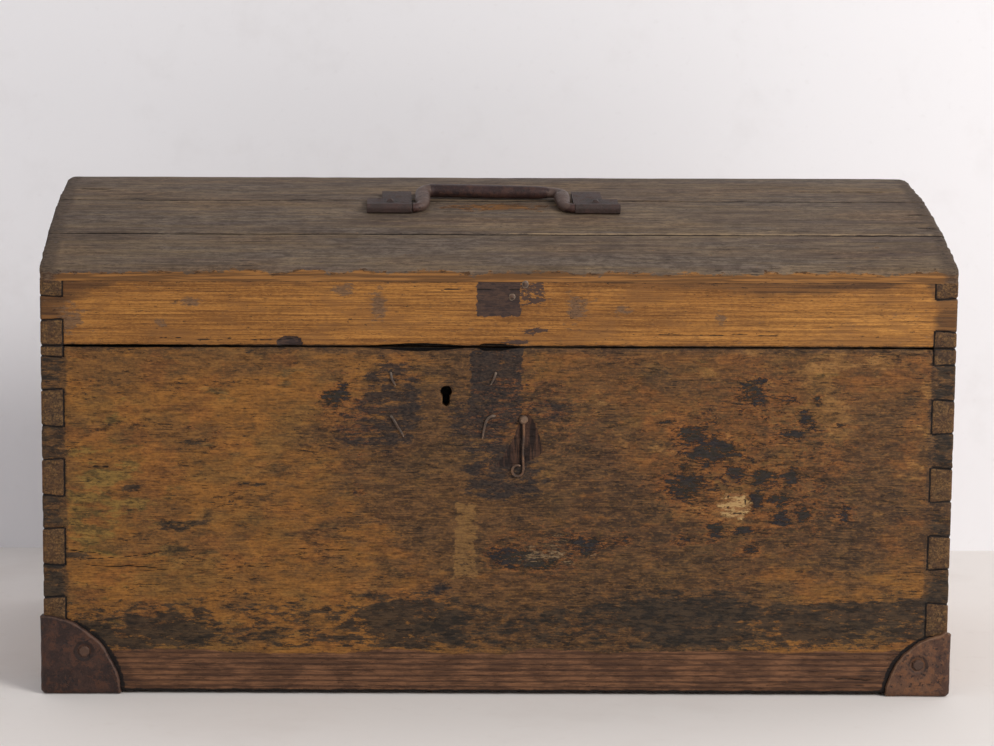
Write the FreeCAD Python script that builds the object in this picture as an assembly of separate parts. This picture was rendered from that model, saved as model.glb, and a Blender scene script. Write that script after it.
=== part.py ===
# Old pine tool chest: a dovetailed carcass sawn into body and lid, a low barrel lid of six boards,
# an iron bail handle, corner plates, strap hinges, a box lock nailed inside the front
# and a small hook of square wire that swings on a nail.
# Millimetres. X runs along the front, Y from the front to the back, Z up from the floor.
# The origin is on the floor, under the middle of the overall box.

import FreeCAD, Part
import math
import os

Vector = FreeCAD.Vector

# Carcass
chest_width = 800.0
chest_depth = 410.0
board_thick = 20.0
body_height = 307.0          # wooden body, from its lower edge to the saw cut
lid_gap = 0.4                # the lid stands this far above the body along the saw cut
rail_height = 56.6           # lid rails at their outer face
corner_wear = 2.0            # worn upright corners of the carcass

# Dovetails: pins on the end boards, tails on the front and back, cut by eye at each end
pin_count = 5                # whole pins
lowest_pin_left = 68.0       # centre of the lowest whole pin above the lower edge
highest_pin_left = 50.0      # centre of the highest whole pin below the top
pin_height_left = 31.0       # pin at the outer corner
lowest_pin_right = 66.0
highest_pin_right = 57.0
pin_height_right = 28.0
pin_slope = 4.0              # degrees
half_pin_low = 17.0
half_pin_high = 13.0

# Arched lid
ridge_rise = 87.5            # ridge above the top of the front rail
eave_height = 12.0           # front edge of the lowest board, before its nosing is rounded
crown_radius = 75.0
crown_angle = 12.0           # degrees from the ridge to where the haunch begins
top_board_thick = 13.0
eave_board_depth = 52.0      # plan depth of the lowest board
middle_board_depth = 70.0
board_gap = 0.5              # shrinkage between top boards
nosing_radius = 9.0

# Bottom
bottom_thick = 12.0
bottom_board_count = 4
bottom_gap = 0.6
cleat_height = 15.0
cleat_width = 16.0
cleat_lift = 3.0             # cleat above the lower edge of the walls

# Iron corner plates
plate_thick = 3.0
plate_round = 5.0
plate_radius_front_left = 71.5
plate_radius_front_right = 57.5
plate_radius_back = 65.0
plate_nail_inset = 16.0      # nail centre in from the rounded edge
plate_nail_head_radius = 5.0 # to the corners
plate_nail_head_height = 1.4
plate_nail_facet = 0.9       # bevel round the head
plate_nail_length = 17.0

# Cut nails
nail_shank = 2.6
nail_head = 7.0
nail_crown = 2.4             # flat on top of the head
nail_head_height = 1.8
brad_width = 3.6             # headless brads, driven flush into the lid's top boards
brad_thick = 2.0
brad_length = 36.0
brad_side_inset = 10.0       # brad centre in from the end of a top board
brad_edge_inset = 14.0       # brad centre in from the long edge of a top board
eave_brad_length = 20.0
eave_brad_inset = 8.0        # brad centre in from the front of the lowest board
eave_brad_count = 5
eave_brad_end_inset = 90.0   # outer eave brads in from the ends of the chest
bottom_nail_length = 24.0
bottom_nail_side_inset = 35.0

# Strap hinges on the back
hinge_spread = 470.0         # between the hinges' middles
hinge_leaf_thick = 2.5
hinge_leaf_width = 36.0
hinge_lower_length = 88.0
hinge_upper_length = 46.0
hinge_tip_width = 20.0
hinge_pin_radius = 2.5
hinge_bore_clearance = 0.05
hinge_knuckle_wall = 2.5
hinge_middle_knuckle = 13.0
hinge_knuckle_gap = 0.5
hinge_wood_clearance = 0.35  # barrel to the back face
hinge_leaf_clearance = 0.6   # leaf edge to the other leaf's barrel
hinge_pin_head = 1.5
hinge_nail_length = 17.0

# Lock
lock_x = -48.0               # middle of the lock
lock_plate_width = 102.0
lock_plate_height = 60.0
lock_plate_thick = 1.7
lock_plate_drop = 10.0       # top of the plate below the rim
lock_case_width = 82.0
lock_case_height = 50.0
lock_case_depth = 18.5
lock_case_wall = 1.5
lock_case_drop = 4.0         # top of the case below the top of the plate
lock_nail_low = 10.0         # lower nails above the plate's lower edge
lock_nail_high = 12.0        # upper nails below the plate's upper edge
clench_length_high = 12.0    # bent-over ends of the upper nails
clench_length_low = 20.0
clench_thick = 2.0
keyhole_offset = 2.7         # keyhole from the middle of the lock
keyhole_drop = 39.0          # centre of the keyhole's round below the rim
keyhole_radius = 4.7
keyhole_slot_width = 6.0
keyhole_slot_length = 12.5   # from the round's centre to the foot
key_post_radius = 2.0
key_post_setback = 1.0       # tip of the post behind the wood
bolt_height = 8.0
bolt_thick = 6.0
bolt_lift = 0.6              # bolt above the keyhole's round
bolt_throw = 10.0
bolt_length = 58.0
bolt_tip_gap = 1.5           # drawn bolt to the staple
bolt_tip_round = 1.2
bolt_notch_width = 10.0
bolt_notch_depth = 2.5
bolt_clearance = 0.3
stud_radius = 2.0
bolt_tail_wall = 3.2         # behind the stud's slot
stud_clearance = 0.3
stud_end_clearance = 0.3
stud_head_radius = 3.6       # to the corners
stud_head_thick = 1.2
guide_width = 4.0
guide_wall = 3.3
guide_from_tip = 6.0
spring_thick = 0.8
spring_width = 5.0
spring_pad = 8.0
spring_reach = 40.0
spring_clearance = 0.3

# Lock staple on the lid
staple_offset = 26.0         # staple from the middle of the lock
staple_width = 4.5
staple_wall = 2.3
staple_foot = 3.8
staple_side_clearance = 0.6
staple_eye_clearance = 1.8   # eye above and below the bolt
staple_swing = 2.4           # the staple swings forward by up to this as the lid opens
link_plate_width = 40.0
link_plate_height = 40.0
link_plate_thick = 2.0
link_plate_lift = 3.0        # plate above the lid's lower edge
link_nail_inset = 6.0
link_nail_length = 15.0

# Bail handle on the lid
handle_depth_place = 112.5   # middle of the brackets behind the front face
bracket_spacing = 148.0      # clear between the brackets
bracket_width = 41.0
bracket_depth = 49.0
bracket_notch_width = 14.0   # notch in the outer back corner
bracket_notch_depth = 19.0
bracket_lower_leaf = 1.85
bracket_upper_leaf = 1.6
bracket_seat_gap = 0.05
bracket_fall = 13.0          # from the barrel to where the upper leaf lies flat
bracket_nail_place = 20.0    # nail from the bracket's inner edge
handle_pin_radius = 2.4
handle_pin_clearance = 0.05
handle_pin_short = 3.0       # pin ends inside the bracket's outer edge
handle_reach = 37.0          # pin axis to grip axis
handle_bend_radius = 9.0
handle_bend_blows = 4        # flats along each bend
handle_neck_radius = 4.2
handle_arm_radius = 5.6
handle_side_clearance = 0.5
grip_radius = 6.3
grip_length = 104.0
grip_shoulder = 2.2
rest_clearance = 0.3

# Two nails left from a lost hasp, in the lid's front rail
hasp_nail_x = 23.0
hasp_nail_rise = 55.0        # above the lid's lower edge
hasp_nail_step = 12.0        # the second nail is this far left and down
hasp_nail_length = 12.0

# Small hook on the front, swinging on its own nail
hook_x = 22.5
hook_drop = 63.5             # nail below the rim
hook_length = 45.0           # nail to the middle of the curl
hook_wire_radius = 1.1       # half the wire's thickness
hook_curl_radius = 4.8       # to the middle of the wire
hook_curl_angle = 300.0      # degrees
hook_eye_radius = 4.0
hook_nail_radius = 1.7
hook_nail_clearance = 0.05
hook_wood_clearance = 0.3
hook_head_clearance = 0.2
hook_nail_head_radius = 3.3  # to the corners
hook_nail_head_thick = 1.3
hook_nail_length = 15.0

# Places worked out from the sizes above
wood_bottom = plate_thick
body_top = wood_bottom + body_height
lid_bottom = body_top + lid_gap
rail_top = lid_bottom + rail_height
ridge_top = rail_top + ridge_rise
knuckle_radius = hinge_pin_radius + hinge_bore_clearance + hinge_knuckle_wall
hinge_stand_off = knuckle_radius + hinge_wood_clearance
front_reach = plate_thick + plate_nail_head_height
back_reach = hinge_stand_off + knuckle_radius
front_y = front_reach - (chest_depth + front_reach + back_reach) / 2
back_y = front_y + chest_depth
inner_front_y = front_y + board_thick
inner_back_y = back_y - board_thick
middle_y = front_y + chest_depth / 2
side_x = chest_width / 2
inner_side_x = side_x - board_thick
hinge_y = back_y + hinge_stand_off
hinge_z = body_top + lid_gap / 2


def box(x_low, x_high, y_low, y_high, z_low, z_high):
    return Part.makeBox(x_high - x_low, y_high - y_low, z_high - z_low, Vector(x_low, y_low, z_low))


def prism_along_x(points, x_low, x_high):
    corners = [Vector(x_low, y, z) for y, z in points]
    outline = Part.makePolygon(corners + corners[:1])
    return Part.Face(outline).extrude(Vector(x_high - x_low, 0, 0))


def prism_along_y(points, y_low, y_high):
    corners = [Vector(x, y_low, z) for x, z in points]
    outline = Part.makePolygon(corners + corners[:1])
    return Part.Face(outline).extrude(Vector(0, y_high - y_low, 0))


def eight_sided_outline(radius, place, axis):
    # regular octagon about place, square to axis; radius is to its corners
    turned = FreeCAD.Rotation(Vector(0, 0, 1), axis)
    corners = []
    for number in range(9):
        turn = math.radians(45 * number + 22.5)
        corner = Vector(radius * math.cos(turn), radius * math.sin(turn), 0)
        corners.append(place + turned.multVec(corner))
    return Part.makePolygon(corners)


def eight_sided(radius, place, axis, length):
    # forged bar with eight flats, from place along axis
    return Part.Face(eight_sided_outline(radius, place, axis)).extrude(axis * length)


def joined(shapes):
    whole = shapes[0].multiFuse(shapes[1:])
    return whole.removeSplitter()


def save(name, shape):
    solids = shape.Solids
    if not solids or not shape.isValid():
        raise RuntimeError(name + " is not a sound solid")
    made = solids[0] if len(solids) == 1 else Part.makeCompound(solids)
    made.exportStep("parts/" + name + ".step")


# The arch: a crown arc over the ridge, and a flatter haunch arc tangent to it on each side.
# Depth is measured from the front face; the back half mirrors the front half.
half_depth = chest_depth / 2
crown_turn = math.radians(crown_angle)
crown_centre_z = ridge_top - crown_radius
eave_top = rail_top + eave_height
crown_over_eave = crown_centre_z - eave_top
crown_reach = half_depth * math.sin(crown_turn) - crown_over_eave * math.cos(crown_turn)
eave_to_crown = half_depth ** 2 + crown_over_eave ** 2
haunch_radius = (eave_to_crown - 2 * crown_radius * crown_reach + crown_radius ** 2)
haunch_radius = haunch_radius / (2 * crown_radius - 2 * crown_reach)
haunch_centre_depth = half_depth + (haunch_radius - crown_radius) * math.sin(crown_turn)
haunch_centre_z = crown_centre_z - (haunch_radius - crown_radius) * math.cos(crown_turn)
haunch_end_depth = half_depth - crown_radius * math.sin(crown_turn)


def arch_frame(depth):
    # height of the lid's outer face, and its slope in radians, at a depth in the front half
    if depth > haunch_end_depth:
        slope = math.asin((half_depth - depth) / crown_radius)
        return crown_centre_z + crown_radius * math.cos(slope), slope
    slope = math.asin((haunch_centre_depth - depth) / haunch_radius)
    return haunch_centre_z + haunch_radius * math.cos(slope), slope


def arch_point(depth, below=0.0):
    # (y, z) on the outer face, or that far under it along its normal
    height, slope = arch_frame(depth)
    return front_y + depth + below * math.sin(slope), height - below * math.cos(slope)


joint_depths = (0.0, eave_board_depth, eave_board_depth + middle_board_depth, half_depth)
under_points = [(front_y, rail_top)]
under_points += [arch_point(depth, top_board_thick) for depth in joint_depths[1:]]


def mirrored_points(points):
    return [(2 * middle_y - y, z) for y, z in reversed(points)]


def carcass_envelope():
    # the whole carcass as one block with its top under the lid boards, upright corners worn
    top_line = under_points + mirrored_points(under_points[:-1])
    profile = [(front_y, wood_bottom)] + top_line + [(back_y, wood_bottom)]
    block = prism_along_x(profile, -side_x, side_x)
    uprights = []
    for edge in block.Edges:
        ends = edge.Vertexes
        if abs(ends[0].Z - ends[1].Z) > body_height and abs(ends[0].Y - ends[1].Y) < 1e-6:
            uprights.append(edge)
    return block.makeChamfer(corner_wear, uprights)


def pin_heights(lowest, highest, height):
    # (low, high) of each pin at the outer corner, half pins at both ends
    spans = []
    pitch = (rail_top - highest - wood_bottom - lowest) / (pin_count - 1)
    for number in range(pin_count):
        centre = wood_bottom + lowest + number * pitch
        spans.append((centre - height / 2, centre + height / 2))
    spans.append((wood_bottom - height, wood_bottom + half_pin_low))
    spans.append((rail_top - half_pin_high, rail_top + 2 * height))
    return spans


def end_pins(side):
    # all the pins of one end, running the full depth; side is -1 on the left and 1 on the right
    if side < 0:
        spans = pin_heights(lowest_pin_left, highest_pin_left, pin_height_left)
    else:
        spans = pin_heights(lowest_pin_right, highest_pin_right, pin_height_right)
    flare = board_thick * math.tan(math.radians(pin_slope))
    outer = side * side_x
    inner = side * inner_side_x
    pins = []
    for low, high in spans:
        corners = [(outer, low), (outer, high), (inner, high + flare), (inner, low - flare)]
        pins.append(prism_along_y(corners, front_y, back_y))
    return Part.makeCompound(pins)


def keyhole(y_low, y_high, grow=0.0):
    centre_x = lock_x + keyhole_offset
    centre_z = body_top - keyhole_drop
    radius = keyhole_radius + grow
    half_slot = keyhole_slot_width / 2 + grow
    depth = y_high - y_low
    towards_back = Vector(0, 1, 0)
    eye = Part.makeCylinder(radius, depth, Vector(centre_x, y_low, centre_z), towards_back)
    foot_z = centre_z - keyhole_slot_length + half_slot
    foot = Part.makeCylinder(half_slot, depth, Vector(centre_x, y_low, foot_z), towards_back)
    slot = box(centre_x - half_slot, centre_x + half_slot, y_low, y_high, foot_z, centre_z)
    return joined([eye, slot, foot])


def carcass_boards():
    # the four walls, whole, as they are before the lid is sawn off
    envelope = carcass_envelope()
    top = ridge_top
    pins = {side: end_pins(side) for side in (-1, 1)}
    boards = {}
    for name, y_low, y_high in (("front", front_y, inner_front_y), ("back", inner_back_y, back_y)):
        slab = box(-side_x, side_x, y_low, y_high, wood_bottom, top)
        board = slab.common(envelope)
        for side in (-1, 1):
            board = board.cut(pins[side])
        boards[name] = board
    for name, side in (("left", -1), ("right", 1)):
        low_x = min(side * side_x, side * inner_side_x)
        high_x = max(side * side_x, side * inner_side_x)
        core = box(low_x, high_x, inner_front_y, inner_back_y, wood_bottom, top)
        board = core.common(envelope).fuse(pins[side].common(envelope))
        boards[name] = board.removeSplitter()
    boards["front"] = boards["front"].cut(keyhole(front_y, inner_front_y))
    return boards


def sawn(board):
    # the body's part and the lid's part of one wall
    reach = chest_width
    lower = board.common(box(-reach, reach, -reach, reach, 0, body_top))
    upper = board.common(box(-reach, reach, -reach, reach, lid_bottom, 2 * ridge_top))
    return lower, upper


def outer_run(start, end):
    # edges of the lid's outer face between two depths of the front half
    edges = []
    spans = []
    if start < haunch_end_depth:
        spans.append((start, min(end, haunch_end_depth)))
    if end > haunch_end_depth:
        spans.append((max(start, haunch_end_depth), end))
    for low, high in spans:
        points = [arch_point(depth) for depth in (low, (low + high) / 2, high)]
        edges.append(Part.Arc(*[Vector(-side_x, y, z) for y, z in points]).toShape())
    return edges


def top_board(number):
    # one coopered board of the front half: curved outside, flat underneath, radial joints
    start = joint_depths[number] + (board_gap / 2 if number else 0.0)
    end = joint_depths[number + 1] - board_gap / 2
    run = outer_run(start, end)
    if number:
        under_start = arch_point(start, top_board_thick)
    else:
        under_start = under_points[0]
    under_end = arch_point(end, top_board_thick)
    corners = [arch_point(end), under_end, under_start, arch_point(start)]
    lines = []
    for (y_a, z_a), (y_b, z_b) in zip(corners, corners[1:]):
        lines.append(Part.makeLine(Vector(-side_x, y_a, z_a), Vector(-side_x, y_b, z_b)))
    board = Part.Face(Part.Wire(run + lines)).extrude(Vector(chest_width, 0, 0))
    if number:
        return board
    nose_y, nose_z = arch_point(start)
    nose = [edge for edge in board.Edges
            if abs(edge.CenterOfMass.y - nose_y) < 1e-3 and abs(edge.CenterOfMass.z - nose_z) < 1e-3]
    return board.makeFillet(nosing_radius, nose)


def mirrored_to_back(shape):
    return shape.mirror(Vector(0, middle_y, 0), Vector(0, 1, 0))


def cut_nail(place, inward, length):
    # square shank with a four-sided head; place is on the surface, inward points into the wood
    half = nail_shank / 2
    rim = nail_head / 2
    crown = nail_crown / 2
    shank = Part.makeBox(nail_shank, nail_shank, length, Vector(-half, -half, 0))
    head = Part.makeWedge(-rim, 0, -rim, -crown, -crown, rim, nail_head_height, rim, crown, crown)
    head.rotate(Vector(0, 0, 0), Vector(1, 0, 0), -90)
    nail = joined([shank, head])
    nail.Placement = FreeCAD.Placement(place, FreeCAD.Rotation(Vector(0, 0, 1), inward))
    return nail


def lid_brad(x, depth, length):
    # headless brad driven square to the lid's outer face, in the front half
    height, slope = arch_frame(depth)
    brad = Part.makeBox(brad_width, brad_thick, length, Vector(-brad_width / 2, -brad_thick / 2, -length))
    brad.rotate(Vector(0, 0, 0), Vector(1, 0, 0), math.degrees(slope))
    brad.translate(Vector(x, front_y + depth, height))
    return brad


def lid_brads():
    # brads into the end boards from every top board, and a row into each rail
    brads = []
    for number in range(3):
        low = max(joint_depths[number], board_thick) + brad_edge_inset
        high = joint_depths[number + 1] - brad_edge_inset
        if high - low > brad_edge_inset:
            depths = (low, high)
        else:
            depths = ((low + high) / 2,)
        for depth in depths:
            for side in (-1, 1):
                brads.append(lid_brad(side * (side_x - brad_side_inset), depth, brad_length))
    row_end = side_x - eave_brad_end_inset
    for place in range(eave_brad_count):
        x = -row_end + place * 2 * row_end / (eave_brad_count - 1)
        brads.append(lid_brad(x, eave_brad_inset, eave_brad_length))
    return brads + [mirrored_to_back(brad) for brad in brads]


def bottom_boards():
    # short boards from front to back, side by side, lying on the cleats
    span = 2 * inner_side_x
    width = (span - bottom_gap * (bottom_board_count + 1)) / bottom_board_count
    low = wood_bottom + cleat_lift + cleat_height
    boards = []
    for number in range(bottom_board_count):
        x = -inner_side_x + bottom_gap + number * (width + bottom_gap)
        boards.append(box(x, x + width, inner_front_y + bottom_gap, inner_back_y - bottom_gap,
                          low, low + bottom_thick))
    return boards


def cleats():
    low = wood_bottom + cleat_lift
    front = box(-inner_side_x, inner_side_x, inner_front_y, inner_front_y + cleat_width,
                low, low + cleat_height)
    return front, mirrored_to_back(front)


def bottom_nails(boards):
    top = wood_bottom + cleat_lift + cleat_height + bottom_thick
    nails = []
    for board in boards:
        bounds = board.BoundBox
        for x in (bounds.XMin + bottom_nail_side_inset, bounds.XMax - bottom_nail_side_inset):
            for y in (inner_front_y + cleat_width / 2, inner_back_y - cleat_width / 2):
                nails.append(cut_nail(Vector(x, y, top), Vector(0, 0, -1), bottom_nail_length))
    return nails


def plate_corners():
    return {
        "front_left": (-1, -1, plate_radius_front_left),
        "front_right": (1, -1, plate_radius_front_right),
        "back_left": (-1, 1, plate_radius_back),
        "back_right": (1, 1, plate_radius_back),
    }


def corner_of(side, end):
    # outer corner of the iron at floor level
    x = side * (side_x + plate_thick)
    y = front_y - plate_thick if end < 0 else back_y + plate_thick
    return Vector(x, y, 0)


def corner_plates():
    # one pressed three-leaf shell round the foot of the carcass; each leaf is cut to a quarter round
    tallest = max(radius for side, end, radius in plate_corners().values())
    outer = box(-side_x - plate_thick, side_x + plate_thick, front_y - plate_thick,
                back_y + plate_thick, 0, tallest + plate_round)
    rounded = [edge for edge in outer.Edges if edge.CenterOfMass.z < tallest]
    outer = outer.makeFillet(plate_round, rounded)
    shell = outer.cut(carcass_envelope())
    plates = {}
    for name, (side, end, radius) in plate_corners().items():
        plate = shell
        for axis in (Vector(1, 0, 0), Vector(0, 1, 0), Vector(0, 0, 1)):
            round_cut = Part.makeCylinder(radius, 4 * radius, corner_of(side, end) - axis * 2 * radius, axis)
            plate = plate.common(round_cut)
        plates[name] = plate
    return plates


def forged_nail(place, inward):
    # low eight-sided head with hammered facets, and a square shank
    outwards = Vector(0, 0, -1)
    head = eight_sided(plate_nail_head_radius, Vector(0, 0, 0), outwards, plate_nail_head_height)
    rim = [edge for edge in head.Edges if edge.BoundBox.ZMax < -plate_nail_head_height / 2]
    head = head.makeChamfer(plate_nail_facet, rim)
    half = nail_shank / 2
    shank = Part.makeBox(nail_shank, nail_shank, plate_nail_length, Vector(-half, -half, 0))
    nail = joined([head, shank])
    nail.Placement = FreeCAD.Placement(place, FreeCAD.Rotation(Vector(0, 0, 1), inward))
    return nail


def plate_nails():
    # one nail in the face leaf and one in the end leaf of every corner plate
    nails = []
    for side, end, radius in plate_corners().values():
        corner = corner_of(side, end)
        along = (radius - plate_nail_inset) / math.sqrt(2)
        face_place = Vector(corner.x - side * along, corner.y, along)
        end_place = Vector(corner.x, corner.y - end * along, along)
        nails.append(forged_nail(face_place, Vector(0, -end, 0)))
        nails.append(forged_nail(end_place, Vector(-side, 0, 0)))
    return nails


def hinge_leaf_outline(length, direction):
    # strap from the barrel line, tapering to a rounded tip; direction is -1 down or 1 up
    half = hinge_leaf_width / 2
    tip = hinge_tip_width / 2
    start = direction * (knuckle_radius + hinge_leaf_clearance)
    waist = direction * (length - tip)
    end = direction * length
    corners = [Vector(-half, 0, start), Vector(half, 0, start), Vector(tip, 0, waist),
               Vector(0, 0, end), Vector(-tip, 0, waist)]
    edges = [
        Part.makeLine(corners[4], corners[0]),
        Part.makeLine(corners[0], corners[1]),
        Part.makeLine(corners[1], corners[2]),
        Part.Arc(corners[2], corners[3], corners[4]).toShape(),
    ]
    return Part.Face(Part.Wire(edges)).extrude(Vector(0, hinge_leaf_thick, 0))


def knuckle(x_low, x_high, direction):
    # rolled barrel about the hinge axis with the strip that joins it to its leaf
    length = x_high - x_low
    barrel = Part.makeCylinder(knuckle_radius, length, Vector(x_low, hinge_stand_off, 0), Vector(1, 0, 0))
    far = direction * (knuckle_radius + 2 * hinge_leaf_clearance)
    strip = box(x_low, x_high, 0, hinge_leaf_thick, min(0, far), max(0, far))
    return joined([barrel, strip])


def hinge(x):
    # lower leaf, upper leaf, pin, and the nail places of each leaf
    half = hinge_leaf_width / 2
    middle = hinge_middle_knuckle / 2
    bore = Part.makeCylinder(hinge_pin_radius + hinge_bore_clearance, 2 * hinge_leaf_width,
                             Vector(-hinge_leaf_width, hinge_stand_off, 0), Vector(1, 0, 0))
    lower = joined([hinge_leaf_outline(hinge_lower_length, -1), knuckle(-middle, middle, -1)])
    outer_start = middle + hinge_knuckle_gap
    upper = joined([hinge_leaf_outline(hinge_upper_length, 1),
                    knuckle(outer_start, half, 1), knuckle(-half, -outer_start, 1)])
    pin = Part.makeCylinder(hinge_pin_radius, hinge_leaf_width + 2 * hinge_pin_head,
                            Vector(-half - hinge_pin_head, hinge_stand_off, 0), Vector(1, 0, 0))
    place = Vector(x, back_y, hinge_z)
    leaves = []
    for shape in (lower.cut(bore), upper.cut(bore), pin):
        shape.translate(place)
        leaves.append(shape)
    return leaves


def hinge_nails(x, length, direction):
    # two nails near the barrel and one near the tip
    surface = back_y + hinge_leaf_thick
    near = knuckle_radius + nail_head + hinge_leaf_clearance
    side = hinge_leaf_width / 2 - nail_head
    places = [(-side, near), (side, near), (0, length - hinge_tip_width / 2)]
    nails = []
    for across, along in places:
        spot = Vector(x + across, surface, hinge_z + direction * along)
        nails.append(cut_nail(spot, Vector(0, -1, 0), hinge_nail_length))
    return nails


# Heights and depths inside the lock
lock_plate_top = body_top - lock_plate_drop
lock_plate_bottom = lock_plate_top - lock_plate_height
lock_case_top = lock_plate_top - lock_case_drop
lock_case_bottom = lock_case_top - lock_case_height
case_front_y = inner_front_y + lock_plate_thick
case_back_y = case_front_y + lock_case_depth
case_floor_y = case_back_y - lock_case_wall
keyhole_z = body_top - keyhole_drop
bolt_bottom = keyhole_z + keyhole_radius + bolt_lift
bolt_top = bolt_bottom + bolt_height
staple_front_y = case_front_y + staple_swing
staple_eye_front = staple_front_y + staple_wall
bolt_front_y = staple_eye_front + staple_side_clearance
bolt_back_y = bolt_front_y + bolt_thick
staple_x = lock_x + staple_offset
bolt_tip_x = staple_x - staple_width / 2 - bolt_tip_gap
bolt_tail_x = bolt_tip_x - bolt_length
stud_x = bolt_tail_x + bolt_tail_wall + bolt_throw + stud_radius + stud_end_clearance
bolt_middle_z = (bolt_bottom + bolt_top) / 2
link_plate_y = inner_front_y + link_plate_thick
staple_eye_back = bolt_back_y + staple_side_clearance
staple_back_y = staple_eye_back + staple_wall
staple_eye_low = bolt_bottom - staple_eye_clearance
staple_eye_high = bolt_top + staple_eye_clearance
staple_low = staple_eye_low - staple_foot
staple_shoulder = staple_eye_high + staple_foot


def lock_plate():
    half = lock_plate_width / 2
    plate = box(lock_x - half, lock_x + half, inner_front_y, case_front_y,
                lock_plate_bottom, lock_plate_top)
    return plate.cut(keyhole(inner_front_y, case_front_y))


def lock_case():
    # open box on the plate, with a slot in its top for the lid's staple
    half = lock_case_width / 2
    outer = box(lock_x - half, lock_x + half, case_front_y, case_back_y, lock_case_bottom, lock_case_top)
    back_edges = [edge for edge in outer.Edges if abs(edge.CenterOfMass.y - case_back_y) < 1e-6]
    outer = outer.makeFillet(lock_case_wall, back_edges)
    wall = lock_case_wall
    hollow = box(lock_x - half + wall, lock_x + half - wall, case_front_y, case_floor_y,
                 lock_case_bottom + wall, lock_case_top - wall)
    slot_half = staple_width / 2 + staple_side_clearance
    slot_back = staple_back_y + staple_side_clearance
    slot = box(staple_x - slot_half, staple_x + slot_half, case_front_y, slot_back,
               lock_case_top - 2 * wall, lock_case_top + wall)
    return outer.cut(hollow).cut(slot)


def lock_bolt():
    # flat bolt with a key notch under it and a slot that rides on the stud
    bolt = box(bolt_tail_x, bolt_tip_x, bolt_front_y, bolt_back_y, bolt_bottom, bolt_top)
    notch_x = lock_x + keyhole_offset
    notch = box(notch_x - bolt_notch_width / 2, notch_x + bolt_notch_width / 2, bolt_front_y,
                bolt_back_y, bolt_bottom, bolt_bottom + bolt_notch_depth)
    half_slot = stud_radius + stud_clearance
    slot_start = stud_x - bolt_throw - stud_radius - stud_end_clearance
    slot_end = stud_x + stud_radius + stud_end_clearance
    slot = box(slot_start, slot_end, bolt_front_y, bolt_back_y,
               bolt_middle_z - half_slot, bolt_middle_z + half_slot)
    tip = [edge for edge in bolt.Edges
           if abs(edge.CenterOfMass.x - bolt_tip_x) < 1e-6 and edge.Length < bolt_height - 1e-6]
    return bolt.makeFillet(bolt_tip_round, tip).cut(notch).cut(slot)


def lock_stud():
    # headed stud through the bolt's slot, on a shoulder from the case
    towards_back = Vector(0, 1, 0)
    head_start = bolt_front_y - bolt_clearance - stud_head_thick
    shoulder_start = bolt_back_y + bolt_clearance
    head = eight_sided(stud_head_radius, Vector(stud_x, head_start, bolt_middle_z), towards_back,
                       stud_head_thick)
    shank = Part.makeCylinder(stud_radius, shoulder_start - head_start,
                              Vector(stud_x, head_start, bolt_middle_z), towards_back)
    shoulder = eight_sided(stud_head_radius, Vector(stud_x, shoulder_start, bolt_middle_z), towards_back,
                           case_floor_y - shoulder_start)
    return joined([head, shank, shoulder])


def bolt_guide():
    # bridge that the bolt's head slides through
    right = bolt_tip_x - guide_from_tip
    outer = box(right - guide_width, right, bolt_front_y - bolt_clearance - lock_case_wall, case_floor_y,
                bolt_bottom - guide_wall, bolt_top + guide_wall)
    window = box(right - guide_width, right, bolt_front_y - bolt_clearance, bolt_back_y + bolt_clearance,
                 bolt_bottom - bolt_clearance, bolt_top + bolt_clearance)
    return outer.cut(window)


def lock_spring():
    # leaf spring from the case's top down to the bolt
    roof = lock_case_top - lock_case_wall
    y_low = (bolt_front_y + bolt_back_y - spring_width) / 2
    start_x = lock_x - lock_case_width / 2 + lock_case_wall
    pad = box(start_x, start_x + spring_pad, y_low, y_low + spring_width, roof - spring_thick, roof)
    low = bolt_top + spring_clearance
    arcs = []
    for lift in (0.0, spring_thick):
        first = Vector(start_x + spring_pad, y_low, roof - spring_thick + lift)
        last = Vector(start_x + spring_reach, y_low, low + lift)
        sag = Vector((first.x + last.x) / 2, y_low, low + (first.z - last.z) / 4 + lift)
        arcs.append(Part.Arc(first, sag, last))
    lower, upper = [arc.toShape() for arc in arcs]
    ends = []
    for index in (0, -1):
        a = lower.Vertexes[index].Point
        b = upper.Vertexes[index].Point
        ends.append(Part.makeLine(a, b))
    strip = Part.Face(Part.Wire([lower, ends[1], upper, ends[0]])).extrude(Vector(0, spring_width, 0))
    return joined([pad, strip])


def key_post():
    start = inner_front_y + key_post_setback
    place = Vector(lock_x + keyhole_offset, start, keyhole_z)
    return Part.makeCylinder(key_post_radius, case_floor_y - start, place, Vector(0, 1, 0))


def lock_nails():
    # nails driven from inside through plate and wood, bent down flat on the front face
    nails = []
    half = nail_shank / 2
    reach = (lock_plate_width + lock_case_width) / 4
    length = case_front_y - front_y + clench_thick
    rows = ((lock_plate_bottom + lock_nail_low, clench_length_low),
            (lock_plate_top - lock_nail_high, clench_length_high))
    for x in (lock_x - reach, lock_x + reach):
        for z, bent in rows:
            driven = cut_nail(Vector(x, case_front_y, z), Vector(0, -1, 0), length)
            clench = box(x - half, x + half, front_y - clench_thick, front_y, z - bent, z + half)
            nails.append(joined([driven, clench]))
    return nails


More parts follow.
